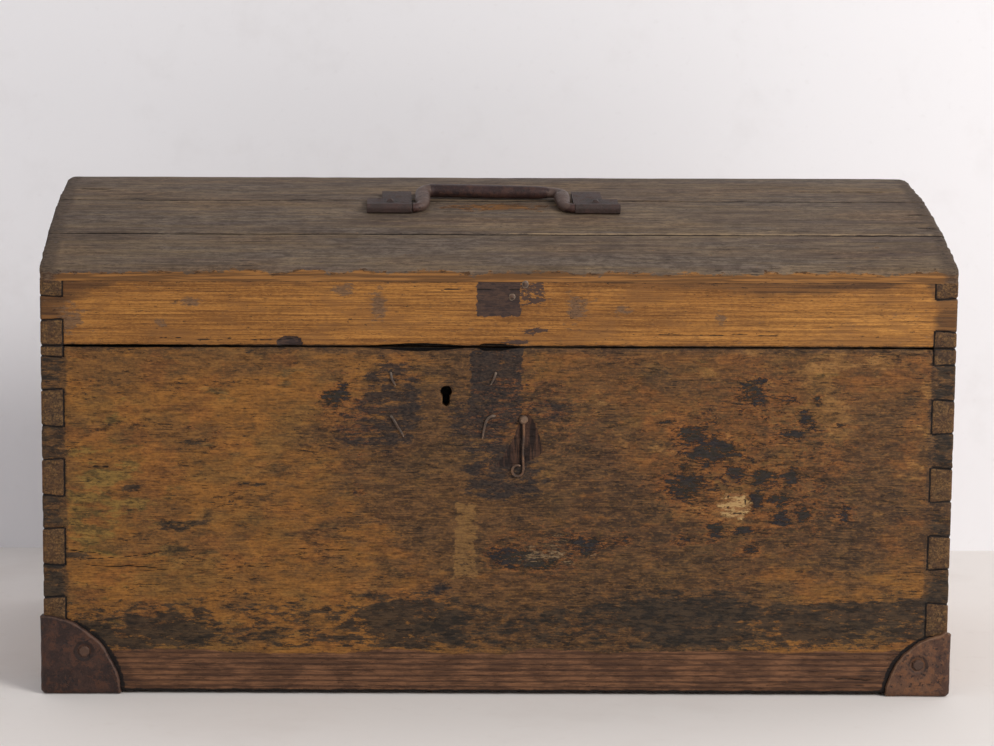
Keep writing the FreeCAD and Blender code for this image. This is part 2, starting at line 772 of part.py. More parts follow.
def lid_staple():
    # plate on the lid's front rail with an eye that hangs into the lock
    half = link_plate_width / 2
    plate_low = lid_bottom + link_plate_lift
    plate_high = plate_low + link_plate_height
    plate = box(staple_x - half, staple_x + half, inner_front_y, link_plate_y, plate_low, plate_high)
    left = staple_x - staple_width / 2
    right = staple_x + staple_width / 2
    stem_top = plate_high - link_nail_inset
    stem_back = staple_front_y + staple_wall
    neck_low = plate_low - (staple_front_y - link_plate_y)
    stem = prism_along_x([(link_plate_y, stem_top), (link_plate_y, plate_low), (staple_front_y, neck_low),
                          (staple_front_y, staple_eye_high), (stem_back, staple_eye_high),
                          (stem_back, stem_top - staple_wall)], left, right)
    ring = box(left, right, staple_front_y, staple_back_y, staple_low, staple_shoulder)
    rounds = [edge for edge in ring.Edges if abs(edge.CenterOfMass.x - staple_x) < 1e-6
              and edge.CenterOfMass.y > staple_eye_front]
    ring = ring.makeFillet(staple_wall, rounds)
    eye = box(left, right, staple_eye_front, staple_eye_back, staple_eye_low, staple_eye_high)
    return joined([plate, stem, ring]).cut(eye)


def staple_nails():
    low = lid_bottom + link_plate_lift + link_nail_inset
    high = low + link_plate_height - 2 * link_nail_inset
    across = link_plate_width / 2 - link_nail_inset
    nails = []
    for x in (staple_x - across, staple_x + across):
        for z in (low, high):
            nails.append(cut_nail(Vector(x, link_plate_y, z), Vector(0, -1, 0), link_nail_length))
    return nails


# The handle's own frame: origin on the lid under the middle of the brackets, +Y up the slope
handle_height, handle_slope = arch_frame(handle_depth_place)
handle_frame = FreeCAD.Placement(Vector(0, front_y + handle_depth_place, handle_height),
                                 FreeCAD.Rotation(Vector(1, 0, 0), math.degrees(handle_slope)))
bracket_front = -bracket_depth / 2
barrel_radius = handle_pin_radius + handle_pin_clearance + bracket_upper_leaf
pivot_y = bracket_front + barrel_radius
pivot_z = bracket_seat_gap + bracket_lower_leaf + handle_pin_clearance + handle_pin_radius


def surface_drop(y):
    # how far the curved lid lies under the handle frame's plane
    return haunch_radius - math.sqrt(haunch_radius ** 2 - y ** 2)


def resting_angle(direction):
    # angle of the handle's arms over the frame's plane when the grip lies on the wood
    spot = pivot_y + direction * handle_reach
    height = grip_radius + rest_clearance - surface_drop(spot) - pivot_z
    return math.degrees(math.asin(height / handle_reach))


handle_rest_tilt = resting_angle(1)
handle_travel = 180.0 - handle_rest_tilt - resting_angle(-1)
pivot_place = handle_frame.multVec(Vector(0, pivot_y, pivot_z))


def handle_bracket(side):
    # strap folded round the handle's pin, both leaves nailed flat on the lid
    inner = bracket_spacing / 2
    outer = inner + bracket_width
    floor = bracket_seat_gap
    lower_top = floor + bracket_lower_leaf
    upper_top = lower_top + bracket_upper_leaf
    barrel_top = pivot_z + barrel_radius
    back = bracket_depth / 2
    landing = pivot_y + bracket_fall
    barrel = Part.makeCylinder(barrel_radius, bracket_width, Vector(inner, pivot_y, pivot_z), Vector(1, 0, 0))
    lower = box(inner, outer, pivot_y, back, floor, lower_top)
    nose = box(inner, outer, bracket_front, pivot_y, floor, pivot_z)
    nose_round = [edge for edge in nose.Edges if edge.CenterOfMass.y < bracket_front + 1e-6
                  and edge.CenterOfMass.z < floor + 1e-6]
    nose = nose.makeFillet(bracket_lower_leaf, nose_round)
    upper = prism_along_x([(pivot_y, barrel_top), (landing, upper_top), (back, upper_top),
                           (back, lower_top), (landing - bracket_upper_leaf, lower_top),
                           (pivot_y, barrel_top - bracket_upper_leaf)], inner, outer)
    bore = Part.makeCylinder(handle_pin_radius + handle_pin_clearance, bracket_width,
                             Vector(inner, pivot_y, pivot_z), Vector(1, 0, 0))
    notch = box(outer - bracket_notch_width, outer, back - bracket_notch_depth, back, floor, upper_top)
    strap = joined([barrel, lower, nose, upper]).cut(bore).cut(notch)
    if side < 0:
        strap = strap.mirror(Vector(0, 0, 0), Vector(1, 0, 0))
    strap.Placement = handle_frame.multiply(strap.Placement)
    return strap


def bracket_nails():
    # one nail through both leaves of each bracket and through the lid board
    top = bracket_seat_gap + bracket_lower_leaf + bracket_upper_leaf
    nails = []
    for side in (-1, 1):
        x = side * (bracket_spacing / 2 + bracket_nail_place)
        nail = cut_nail(Vector(x, 0, top), Vector(0, 0, -1), top_board_thick + nail_head)
        nail.Placement = handle_frame.multiply(nail.Placement)
        nails.append(nail)
    return nails


def handle_arm():
    # the right arm: an eight-sided bar bent twice on the anvil, thicker towards the grip
    bend = handle_bend_radius
    steps = handle_bend_blows
    arm_start = bracket_spacing / 2 - handle_side_clearance
    arm_x = arm_start - handle_side_clearance - bend
    grip_y = pivot_y + handle_reach
    turns = [math.radians(90 * number / steps) for number in range(steps + 1)]
    stations = [(arm_start, pivot_y, 0.0, handle_neck_radius)]
    for turn in turns:
        along = arm_x + bend - bend * math.sin(turn)
        stations.append((along, pivot_y + bend - bend * math.cos(turn), turn, handle_neck_radius))
    for turn in reversed(turns):
        along = arm_x - bend + bend * math.sin(turn)
        stations.append((along, grip_y - bend + bend * math.cos(turn), turn, handle_arm_radius))
    stations.append((grip_length / 2 - grip_shoulder, grip_y, 0.0, handle_arm_radius))
    sections = []
    for x, y, turn, radius in stations:
        place = Vector(x, y, pivot_z)
        outline = eight_sided_outline(radius, place, Vector(1, 0, 0))
        outline.rotate(place, Vector(0, 0, 1), -math.degrees(turn))
        sections.append(outline)
    return Part.makeLoft(sections, True, True)


def bail_handle():
    # grip, two swept arms that thicken towards it, and thin pins in the brackets
    across = Vector(1, 0, 0)
    pin_start = bracket_spacing / 2 - handle_side_clearance
    pin_length = bracket_width + handle_side_clearance - handle_pin_short
    pin = Part.makeCylinder(handle_pin_radius, pin_length, Vector(pin_start, pivot_y, pivot_z), across)
    half = joined([handle_arm(), pin])
    grip_y = pivot_y + handle_reach
    grip_end = grip_length / 2
    grip = Part.makeCylinder(grip_radius, grip_length, Vector(-grip_end, grip_y, pivot_z), across)
    rims = [edge for edge in grip.Edges if abs(abs(edge.CenterOfMass.x) - grip_end) < 1e-6]
    grip = grip.makeChamfer(grip_shoulder, rims)
    handle = joined([grip, half, half.mirror(Vector(0, 0, 0), across)])
    handle.rotate(Vector(0, pivot_y, pivot_z), across, handle_rest_tilt)
    handle.Placement = handle_frame.multiply(handle.Placement)
    return handle


def hasp_nails():
    nails = []
    for step in (0.0, hasp_nail_step):
        place = Vector(hasp_nail_x - step, front_y, lid_bottom + hasp_nail_rise - step)
        nails.append(cut_nail(place, Vector(0, 1, 0), hasp_nail_length))
    return nails


hook_pivot_z = body_top - hook_drop
hook_middle_y = front_y - hook_wood_clearance - hook_wire_radius
hook_front_y = hook_middle_y - hook_wire_radius


def hook():
    # flat bar with an eye on the nail and its end curled up to the left
    towards_back = Vector(0, 1, 0)
    eye_centre = Vector(hook_x, hook_front_y, hook_pivot_z)
    thick = 2 * hook_wire_radius
    eye = Part.makeCylinder(hook_eye_radius, thick, eye_centre, towards_back)
    curl_z = hook_pivot_z - hook_length
    half = hook_wire_radius
    bar = box(hook_x - half, hook_x + half, hook_front_y, hook_front_y + thick, curl_z, hook_pivot_z)
    curl_centre = Vector(hook_x - hook_curl_radius, hook_front_y, curl_z)
    corners = [Vector(hook_x + across, hook_front_y + depth, curl_z)
               for across, depth in ((-half, 0), (half, 0), (half, thick), (-half, thick), (-half, 0))]
    curl = Part.Face(Part.makePolygon(corners)).revolve(curl_centre, towards_back, hook_curl_angle)
    bore = Part.makeCylinder(hook_nail_radius + hook_nail_clearance, thick, eye_centre, towards_back)
    return joined([eye, bar, curl]).cut(bore)


def hook_nail():
    towards_back = Vector(0, 1, 0)
    under_head = hook_front_y - hook_head_clearance
    shank = Part.makeCylinder(hook_nail_radius, front_y - under_head + hook_nail_length,
                              Vector(hook_x, under_head, hook_pivot_z), towards_back)
    face_y = under_head - hook_nail_head_thick
    head = eight_sided(hook_nail_head_radius, Vector(hook_x, face_y, hook_pivot_z), towards_back,
                       hook_nail_head_thick)
    outer = [edge for edge in head.Edges if edge.BoundBox.YMax < face_y + 1e-6]
    head = head.makeChamfer(hook_nail_head_thick / 2, outer)
    return joined([shank, head])


def drilled(board, nails):
    # a board with the holes that its nails fill
    bounds = board.BoundBox
    near = [nail for nail in nails if bounds.intersect(nail.BoundBox)]
    if not near:
        return board
    return board.cut(Part.makeCompound(near))


def main():
    os.makedirs("parts", exist_ok=True)

    walls = carcass_boards()
    lower = {}
    upper = {}
    for name, board in walls.items():
        lower[name], upper[name] = sawn(board)

    plate_pins = plate_nails()
    lock_pins = lock_nails()
    hinge_places = {"left": -hinge_spread / 2, "right": hinge_spread / 2}
    lower_hinge_pins = []
    upper_hinge_pins = []
    for x in hinge_places.values():
        lower_hinge_pins += hinge_nails(x, hinge_lower_length, -1)
        upper_hinge_pins += hinge_nails(x, hinge_upper_length, 1)
    top_pins = lid_brads()
    staple_pins = staple_nails()
    bracket_pins = bracket_nails()
    hasp_pins = hasp_nails()

    swing_nail = hook_nail()
    body_pins = plate_pins + lock_pins + lower_hinge_pins + [swing_nail]
    save("front_board", drilled(lower["front"], body_pins))
    save("back_board", drilled(lower["back"], body_pins))
    save("side_board_left", drilled(lower["left"], body_pins))
    save("side_board_right", drilled(lower["right"], body_pins))

    boards = bottom_boards()
    floor_pins = bottom_nails(boards)
    for number, board in enumerate(boards, 1):
        save("bottom_board_" + str(number), drilled(board, floor_pins))
    front_cleat, back_cleat = cleats()
    save("bottom_cleat_front", drilled(front_cleat, floor_pins))
    save("bottom_cleat_back", drilled(back_cleat, floor_pins))
    save("bottom_nails", Part.makeCompound(floor_pins))

    for name, plate in corner_plates().items():
        save("corner_plate_" + name, drilled(plate, plate_pins))
    save("corner_plate_nails", Part.makeCompound(plate_pins))

    save("lock_plate", drilled(lock_plate(), lock_pins))
    save("lock_case", lock_case())
    save("lock_bolt", lock_bolt())
    save("lock_bolt_stud", lock_stud())
    save("lock_bolt_guide", bolt_guide())
    save("lock_spring", lock_spring())
    save("lock_key_post", key_post())
    save("lock_nails", Part.makeCompound(lock_pins))

    for name, x in hinge_places.items():
        lower_leaf, upper_leaf, pin = hinge(x)
        save("hinge_lower_leaf_" + name, drilled(lower_leaf, lower_hinge_pins))
        save("hinge_upper_leaf_" + name, drilled(upper_leaf, upper_hinge_pins))
        save("hinge_pin_" + name, pin)
    save("hinge_lower_nails", Part.makeCompound(lower_hinge_pins))
    save("hinge_upper_nails", Part.makeCompound(upper_hinge_pins))

    lid_pins = top_pins + staple_pins + hasp_pins + upper_hinge_pins
    save("lid_front_rail", drilled(upper["front"], lid_pins))
    save("lid_back_rail", drilled(upper["back"], lid_pins))
    save("lid_end_left", drilled(upper["left"], lid_pins))
    save("lid_end_right", drilled(upper["right"], lid_pins))
    for number in range(3):
        board = top_board(number)
        save("lid_board_front_" + str(number + 1), drilled(board, top_pins + bracket_pins))
        save("lid_board_back_" + str(number + 1), drilled(mirrored_to_back(board), top_pins))
    save("lid_board_brads", Part.makeCompound(top_pins))
    save("lid_staple", drilled(lid_staple(), staple_pins))
    save("lid_staple_nails", Part.makeCompound(staple_pins))
    save("old_hasp_nails", Part.makeCompound(hasp_pins))

    for name, side in (("left", -1), ("right", 1)):
        save("handle_bracket_" + name, drilled(handle_bracket(side), bracket_pins))
    save("handle_bracket_nails", Part.makeCompound(bracket_pins))
    save("handle", bail_handle())

    save("hook", hook())
    save("hook_nail", swing_nail)

    print("hook nail at x %.3f z %.3f" % (hook_x, hook_pivot_z))
    print("lid hinge axis at y %.3f z %.3f" % (hinge_y, hinge_z))
    print("handle pivot at y %.3f z %.3f" % (pivot_place.y, pivot_place.z))
    print("handle travel %.2f degrees" % handle_travel)
    print("lock bolt throw %.1f" % bolt_throw)


main()
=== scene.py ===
import math
import bpy
import numpy as np
from mathutils import Matrix, Vector


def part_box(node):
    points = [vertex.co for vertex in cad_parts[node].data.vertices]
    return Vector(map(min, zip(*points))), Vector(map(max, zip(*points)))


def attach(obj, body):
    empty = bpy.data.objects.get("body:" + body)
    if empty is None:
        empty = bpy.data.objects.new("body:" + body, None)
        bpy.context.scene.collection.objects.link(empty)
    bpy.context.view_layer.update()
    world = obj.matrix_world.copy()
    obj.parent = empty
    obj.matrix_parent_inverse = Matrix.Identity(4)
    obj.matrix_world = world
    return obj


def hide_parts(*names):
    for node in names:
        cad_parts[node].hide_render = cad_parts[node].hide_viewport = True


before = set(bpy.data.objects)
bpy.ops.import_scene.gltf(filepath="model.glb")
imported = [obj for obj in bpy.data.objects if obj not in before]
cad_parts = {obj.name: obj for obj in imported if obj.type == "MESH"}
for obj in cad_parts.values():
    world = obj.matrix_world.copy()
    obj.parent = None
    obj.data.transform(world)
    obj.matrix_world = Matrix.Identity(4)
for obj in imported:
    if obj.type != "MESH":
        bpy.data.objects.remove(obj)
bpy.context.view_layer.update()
print("chest: frame loaded")

# Places are in millimetres until a mesh is made
mm = 0.001
boardLow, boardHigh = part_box("front_board")
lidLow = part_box("lid_front_rail")[0].z / mm
chest = {
    "sideX": boardHigh.x / mm,
    "frontY": boardLow.y / mm,
    "backY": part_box("back_board")[1].y / mm,
    "board": 20.0,  # thickness of the walls
    "woodLow": boardLow.z / mm,
    "bodyTop": boardHigh.z / mm,
    "lidLow": lidLow,
    "railTop": lidLow + 56.6,
}
middleY = (chest["frontY"] + chest["backY"]) / 2
halfDepth = (chest["backY"] - chest["frontY"]) / 2

# Dovetails: whole pins counted from the lower edge, at the outer corner
dovetails = {
    "left": {"first": 71.0, "pitch": 61.5, "height": 31.0},
    "right": {"first": 69.0, "pitch": 60.25, "height": 28.0},
    "count": 5,
    "bodyEdges": 10,  # pin edges below the saw cut
    "lowHalf": 20.0,
    "topHalf": 354.0,
    "flare": 1.4,
}


def tone(red, green, blue):
    # a colour from 0 to 255 as seen, made linear: ((c + 0.055) / 1.055) ^ 2.4
    seen = np.array([red, green, blue]) / 255.0
    linear = np.where(seen < 0.04045, seen / 12.92, ((seen + 0.055) / 1.055) ** 2.4)
    return tuple(float(part) for part in linear) + (1.0,)


def smoothRise(value, low, high):
    # 0 below low, 1 above high, 3t^2 - 2t^3 between
    t = np.clip((value - low) / (high - low), 0.0, 1.0)
    return t * t * (3.0 - 2.0 * t)


def hill(value, foot, top, brink, end):
    # 0 up to foot, rising to 1 at top, falling from brink to 0 at end
    return smoothRise(value, foot, top) * (1 - smoothRise(value, brink, end))


def bell(value, middle, width):
    # exp(-((value - middle) / width)^2)
    return np.exp(-((value - middle) / width) ** 2)


def fall(gap, reach, start=1.0):
    # start at no distance, less by one for every reach away, held between 0 and 1
    return np.clip(start - gap / reach, 0, 1)


def cloud(a, b, seed, octaves=1):
    # random heights -1..1 on a square lattice, blended smoothly between its points; each octave half as high
    side = 64
    table = np.random.default_rng(seed).uniform(-1.0, 1.0, (side, side))
    total, gain, reach = 0.0, 1.0, 0.0
    for octave in range(octaves):
        lowA, lowB = np.floor(a).astype(int), np.floor(b).astype(int)
        partA, partB = smoothRise(a - lowA, 0.0, 1.0), smoothRise(b - lowB, 0.0, 1.0)
        first, second = [table[lowA % side, column] * (1 - partA) + table[(lowA + 1) % side, column] * partA
                         for column in (lowB % side, (lowB + 1) % side)]
        total = total + gain * (first * (1 - partB) + second * partB)
        reach += gain
        a, b, gain = a * 2.03 + 11.7, b * 2.03 + 5.3, gain * 0.5
    return total / reach


def fromMiddle(x, z, mark):
    # how far across and up a place is from a mark's middle, as shares of half its width and half its height
    left, right, low, high = mark[:4]
    lean = mark[4] if len(mark) > 4 else 0.0
    middleX, middleZ = (left + right) / 2, (low + high) / 2
    return (x - middleX - lean * (z - middleZ)) / ((right - left) / 2), (z - middleZ) / ((high - low) / 2)


def blots(x, z, marks, rag=0.0, seed=5):
    # the greatest of 1 - (distance / reach)^2 over the marks, its edge made uneven by rag
    found = np.zeros_like(x)
    wobble = rag * cloud(x / 5.0, z / 3.0, seed, 3) if rag else 0.0
    for mark in marks:
        across, up = fromMiddle(x, z, mark)
        found = np.maximum(found, 1.0 - across ** 2 - up ** 2 + wobble)
    return np.clip(found, 0.0, 1.0)


def soft(x, z, marks):
    # marks that fade outwards and run together: the sum of exp(-1.4 * (distance / reach)^2), at most 1
    total = np.zeros_like(x)
    for mark in marks:
        across, up = fromMiddle(x, z, mark)
        total = total + np.exp(-1.4 * (across ** 2 + up ** 2))
    return np.minimum(total, 1.0)


def patch(x, z, places, seed, rag):
    # 1 inside straight-sided marks, fading over 1.5 mm at an edge that a noise makes uneven
    share = np.zeros_like(x)
    for left, right, low, high in places:
        inside = np.minimum(np.minimum(x - left, right - x), np.minimum(z - low, high - z))
        share = np.maximum(share, np.clip((inside + rag * cloud(x / 3.0, z / 3.0, seed, 2)) / 1.5 + 0.5, 0.0, 1.0))
    return share


def spread(low, high, step, dense=()):
    # places from low to high, closer together inside the dense spans of (low, high, step)
    fine = np.linspace(low, high, 2001)
    rate = np.full(len(fine), 1.0 / step)
    for start, end, near in dense:
        inside = (fine >= start) & (fine <= end)
        rate[inside] = np.maximum(rate[inside], 1.0 / near)
    count = np.concatenate([[0.0], np.cumsum((rate[1:] + rate[:-1]) / 2 * np.diff(fine))])
    steps = max(1, int(round(count[-1])))
    return np.interp(np.linspace(0.0, count[-1], steps + 1), count, fine)


def runAlong(path):
    # distance walked from the first point to each point
    return np.concatenate([[0.0], np.cumsum(np.linalg.norm(np.diff(path, axis=0), axis=1))])


def closed(values):
    # the first column again after the last
    return np.concatenate([values, values[:, :1]], axis=1)


def joined(values, row, added):
    # one more row: before the first for row 0, after the last for row -1
    return np.concatenate([added[None], values] if row == 0 else [values, added[None]])


def surface(name, patches, capped=False, sharp=38.0):
    # joins grids of points (rows x columns x 3, in mm) where they meet; doubled points and empty faces go
    # a capped grid gets a face over its first row and one over its last
    points, masks, quads, start = [], {}, [], 0
    maskNames = sorted({key for grid, fields in patches for key in fields})
    for grid, fields in patches:
        rows, columns = grid.shape[:2]
        index = start + np.arange(rows * columns).reshape(rows, columns)
        corners = [index[:-1, :-1], index[:-1, 1:], index[1:, 1:], index[1:, :-1]]
        quads.append(np.stack(corners, -1).reshape(-1, 4))
        points.append(grid.reshape(-1, 3))
        for key in maskNames:
            masks.setdefault(key, []).append(np.broadcast_to(fields.get(key, 0.0), (rows, columns)).reshape(-1))
        start += rows * columns
    points = np.concatenate(points)
    keys = np.round(points / 0.002).astype(np.int64)
    unique, first, back = np.unique(keys, axis=0, return_index=True, return_inverse=True)
    back = back.reshape(-1)
    points = points[first]
    quads = back[np.concatenate(quads)]
    same = quads == np.roll(quads, -1, axis=1)
    whole = quads[same.sum(1) == 0]
    whole = whole[(whole[:, 0] != whole[:, 2]) & (whole[:, 1] != whole[:, 3])]
    thin = same.sum(1) == 1
    triangles = quads[thin][~same[thin]].reshape(-1, 3)
    rings = [back[index[0, :-1][::-1]], back[index[-1, :-1]]] if capped else []
    rings = [ring[ring != np.roll(ring, 1)] for ring in rings]
    corners = np.concatenate([whole.reshape(-1), triangles.reshape(-1)] + rings)
    sizes = np.array([4] * len(whole) + [3] * len(triangles) + [len(ring) for ring in rings])
    # six times the closed volume, from each corner's fan over its face; negative when the faces look inwards
    starts = np.concatenate([[0], np.cumsum(sizes)[:-1]])
    ahead = np.arange(len(corners)) + 1
    ahead[starts + sizes - 1] = starts
    middles = np.add.reduceat(points[corners], starts) / sizes[:, None]
    fans = np.cross(points[corners], points[corners[ahead]])
    if (fans * np.repeat(middles, sizes, axis=0)).sum() < 0:
        corners = corners[np.repeat(starts * 2 + sizes - 1, sizes) - np.arange(len(corners))]
    mesh = bpy.data.meshes.new(name)
    mesh.vertices.add(len(points))
    mesh.vertices.foreach_set("co", (points * mm).astype(np.float32).reshape(-1))
    mesh.loops.add(len(corners))
    mesh.loops.foreach_set("vertex_index", corners.astype(np.int32))
    mesh.polygons.add(len(sizes))
    mesh.polygons.foreach_set("loop_start", starts.astype(np.int32))
    mesh.update(calc_edges=True)
    mesh.validate()
    for key in maskNames:
        values = np.concatenate(masks[key])[first]
        mesh.attributes.new(key, "FLOAT", "POINT").data.foreach_set("value", values.astype(np.float32))
    mesh.shade_smooth()
    mesh.set_sharp_from_angle(angle=math.radians(sharp))
    piece = bpy.data.objects.new(name, mesh)
    bpy.context.scene.collection.objects.link(piece)
    return piece


def dress(piece, body, nodes, finish):
    # puts a finished piece on its body in place of its CAD nodes
    piece.data.materials.clear()
    piece.data.materials.append(finish)
    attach(piece, body)
    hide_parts(*nodes)


def pinKnots(end):
    # lower and upper edge of every pin at the outer corner, from the bottom up
    centres = end["first"] + end["pitch"] * np.arange(dovetails["count"])
    edges = np.sort(np.concatenate([centres - end["height"] / 2, centres + end["height"] / 2]))
    return np.concatenate([[dovetails["lowHalf"]], edges, [dovetails["topHalf"]]])


def combRows(low, high, inLid, step, dense=()):
    # rows of a dovetailed board: height at its left and right end, slope sign, whether a pin is there, and
    # the distance to the pin's nearer edge; every pin edge comes twice, as the pin's row and as the tail's
    picked = slice(dovetails["bodyEdges"], None) if inLid else slice(0, dovetails["bodyEdges"])
    left, right = [np.concatenate([[low], pinKnots(dovetails[side])[picked], [high]]) for side in ("left", "right")]
    signs = np.concatenate([[0.0], np.where(np.arange(len(left) - 2) % 2 == 0, 1.0, -1.0), [0.0]])
    parts = []
    for k in range(len(left) - 1):
        bottom, top = (left[k] + right[k]) / 2, (left[k + 1] + right[k + 1]) / 2
        t = (spread(bottom, top, step, dense) - bottom) / (top - bottom)
        heights = [ends[k] + t * (ends[k + 1] - ends[k]) for ends in (left, right, signs)]
        toEdge = np.minimum(t * (top - bottom), (1 - t) * (top - bottom))
        parts.append(heights + [np.full(len(t), k % 2 == 0), toEdge])
    return [np.concatenate(part) for part in zip(*parts)]


# How the boards' plans are divided, in mm
boards = {
    "cornerRound": 2.6, "endStep": 1.5, "combStep": 1.3, "innerStep": 60.0,
    "innerEdge": 2.0,  # width of the inner face's first strip beside the dovetails
    "rim": 1.2,  # how far inside a sawn edge its own mark begins
}


def boardPath(length, thick, step, dense=()):
    # closed walk round a board's plan: one end, rounded corner, outer face, rounded corner, other end, inner face
    half, turn = length / 2, boards["cornerRound"]
    end = spread(turn, thick, boards["endStep"])[::-1]
    arc = np.linspace(0.0, math.pi / 2, 5)[1:-1]
    comb = half - chest["board"]
    combStep = min(step, boards["combStep"])
    face = np.concatenate([spread(-half + turn, -comb, combStep), spread(-comb, comb, step, dense)[1:-1],
                           spread(comb, half - turn, combStep)])
    inner = spread(-half, half, boards["innerStep"])[1:-1][::-1]
    strip = comb - boards["innerEdge"]
    inner = np.sort(np.concatenate([inner, [-comb, -strip, strip, comb]]))[::-1]
    edge, flat, deep = np.ones(len(end)), np.zeros(len(face)), np.zeros(len(inner))
    a = np.concatenate([-half * edge, -half + turn - turn * np.cos(arc), face, half - turn + turn * np.sin(arc),
                        half * edge, inner])
    d = np.concatenate([end, turn - turn * np.sin(arc), flat, turn - turn * np.cos(arc), end[::-1], deep + thick])
    outA = np.concatenate([-edge, -np.cos(arc), flat, np.sin(arc), edge, deep])
    outD = np.concatenate([0 * edge, -np.sin(arc), flat - 1.0, -np.cos(arc), 0 * edge, deep])
    return a, d, outA, outD


def combBoard(spec, place, depthAt, masksAt, keepPins):
    # a board cut into pins or tails at both ends; place(a, d, z) gives x, y, z in the chest
    # the outer face and the ends are worn inwards by depthAt, in mm along the surface's own direction
    board, rim = chest["board"], boards["rim"]
    heightL, heightR, slope, isPin, knotGap = combRows(
        spec["low"], spec["high"], spec["inLid"], spec["rowStep"], spec.get("denseRows", ()))
    a, d, outA, outD = boardPath(spec["length"], board, spec["step"], spec.get("dense", ()))
    comb = spec["length"] / 2 - board
    rows = len(heightL)
    gridA, gridD = np.tile(a, (rows, 1)), np.tile(d, (rows, 1))
    x = place(gridA, gridD, 0 * gridA)[0]
    share = np.clip((x + chest["sideX"]) / (2 * chest["sideX"]), 0.0, 1.0)
    inFromSide = np.clip(chest["sideX"] - np.abs(x), 0.0, board) / board
    z = heightL[:, None] * (1 - share) + heightR[:, None] * share + slope[:, None] * dovetails["flare"] * inFromSide
    cut = isPin[:, None] if not keepPins else ~isPin[:, None]
    beyond = np.abs(gridA) > comb + 0.001
    # distance from the nearest joint, on the face and on the ends
    edgeGap = np.where(~cut & beyond, knotGap[:, None], 99.0)
    edgeGap = np.where(cut & ~beyond, comb - np.abs(gridA), edgeGap)
    edgeGap = np.where(~cut & beyond & (gridD > 3.0), np.minimum(edgeGap, board - gridD), edgeGap)
    onFace = (np.abs(outD) + np.abs(outA) > 0.5)[None, :]
    depth = np.where(onFace, depthAt(gridA, gridD, x, z, edgeGap), 0.0)
    gone = cut & beyond
    wornA = np.where(gone, np.sign(gridA) * comb, gridA - outA[None, :] * depth)
    wornD = np.where(gone, board, gridD - outD[None, :] * depth)
    lip = spec.get("lip", lambda a, d, z: 0 * z)
    top = spec.get("top", lambda y, z: z)

    def placed(a, d, z):
        px, py, pz = place(a, d, z)
        return np.stack([px, py, top(py, pz)], -1)

    z = z + lip(gridA, gridD, z)
    grid = closed(placed(wornA, wornD, z))
    masks = masksAt(gridA, gridD, x, z, edgeGap)
    masks["endFace"] = np.tile(np.abs(outA) * (gridD[0] > 0.5), (rows, 1))
    masks["inner"] = ((gridD > board - 0.5) & (np.abs(gridA) < comb - 1.5)).astype(float)
    masks["sawn"] = 0.0 * z
    masks = {key: closed(value) for key, value in masks.items()}
    # a second ring just inside each sawn edge, so that the cut face carries its own mark
    for row in (0, -1):
        ringA = np.sign(wornA[row]) * np.maximum(np.abs(wornA[row]) - rim, 0.0)
        ringD = np.clip(wornD[row], rim, board - rim)
        ringZ = heightL[row] * (1 - share[row]) + heightR[row] * share[row]
        drop = lip(ringA, ringD, ringZ)
        ring = placed(ringA, ringD, ringZ + drop)
        grid = joined(grid, row, np.concatenate([ring, ring[:1]]))
        # sunk: how far the edge is broken away, used as painted shade in the saw gap
        sunk = np.clip(np.abs(drop) / rim, 0.0, 1.0)
        sunk = np.concatenate([sunk, sunk[:1]])
        edges = {"sawn": 1.0 + 0 * sunk, "joint": sunk}
        masks = {key: joined(value, row, edges.get(key, 0 * sunk)) for key, value in masks.items()}
    return surface(spec["name"], [(grid, masks)], capped=True)


# How each board lies: its length a, its depth d from the outer face, its height z
def atFront(a, d, z):
    return a, chest["frontY"] + d, z


def atBack(a, d, z):
    return -a, chest["backY"] - d, z


def atLeft(a, d, z):
    return -chest["sideX"] + d, middleY - a, z


def atRight(a, d, z):
    return chest["sideX"] - d, middleY + a, z


class Value:
    # one number, colour or direction that varies over a surface
    def __init__(self, finish, socket):
        self.finish = finish
        self.socket = socket

    def __add__(self, other):
        return self.finish.maths("ADD", self, other)

    def __sub__(self, other):
        return self.finish.maths("SUBTRACT", self, other)

    def __rsub__(self, other):
        return self.finish.maths("SUBTRACT", other, self)

    def __mul__(self, other):
        return self.finish.maths("MULTIPLY", self, other)

    __radd__ = __add__
    __rmul__ = __mul__


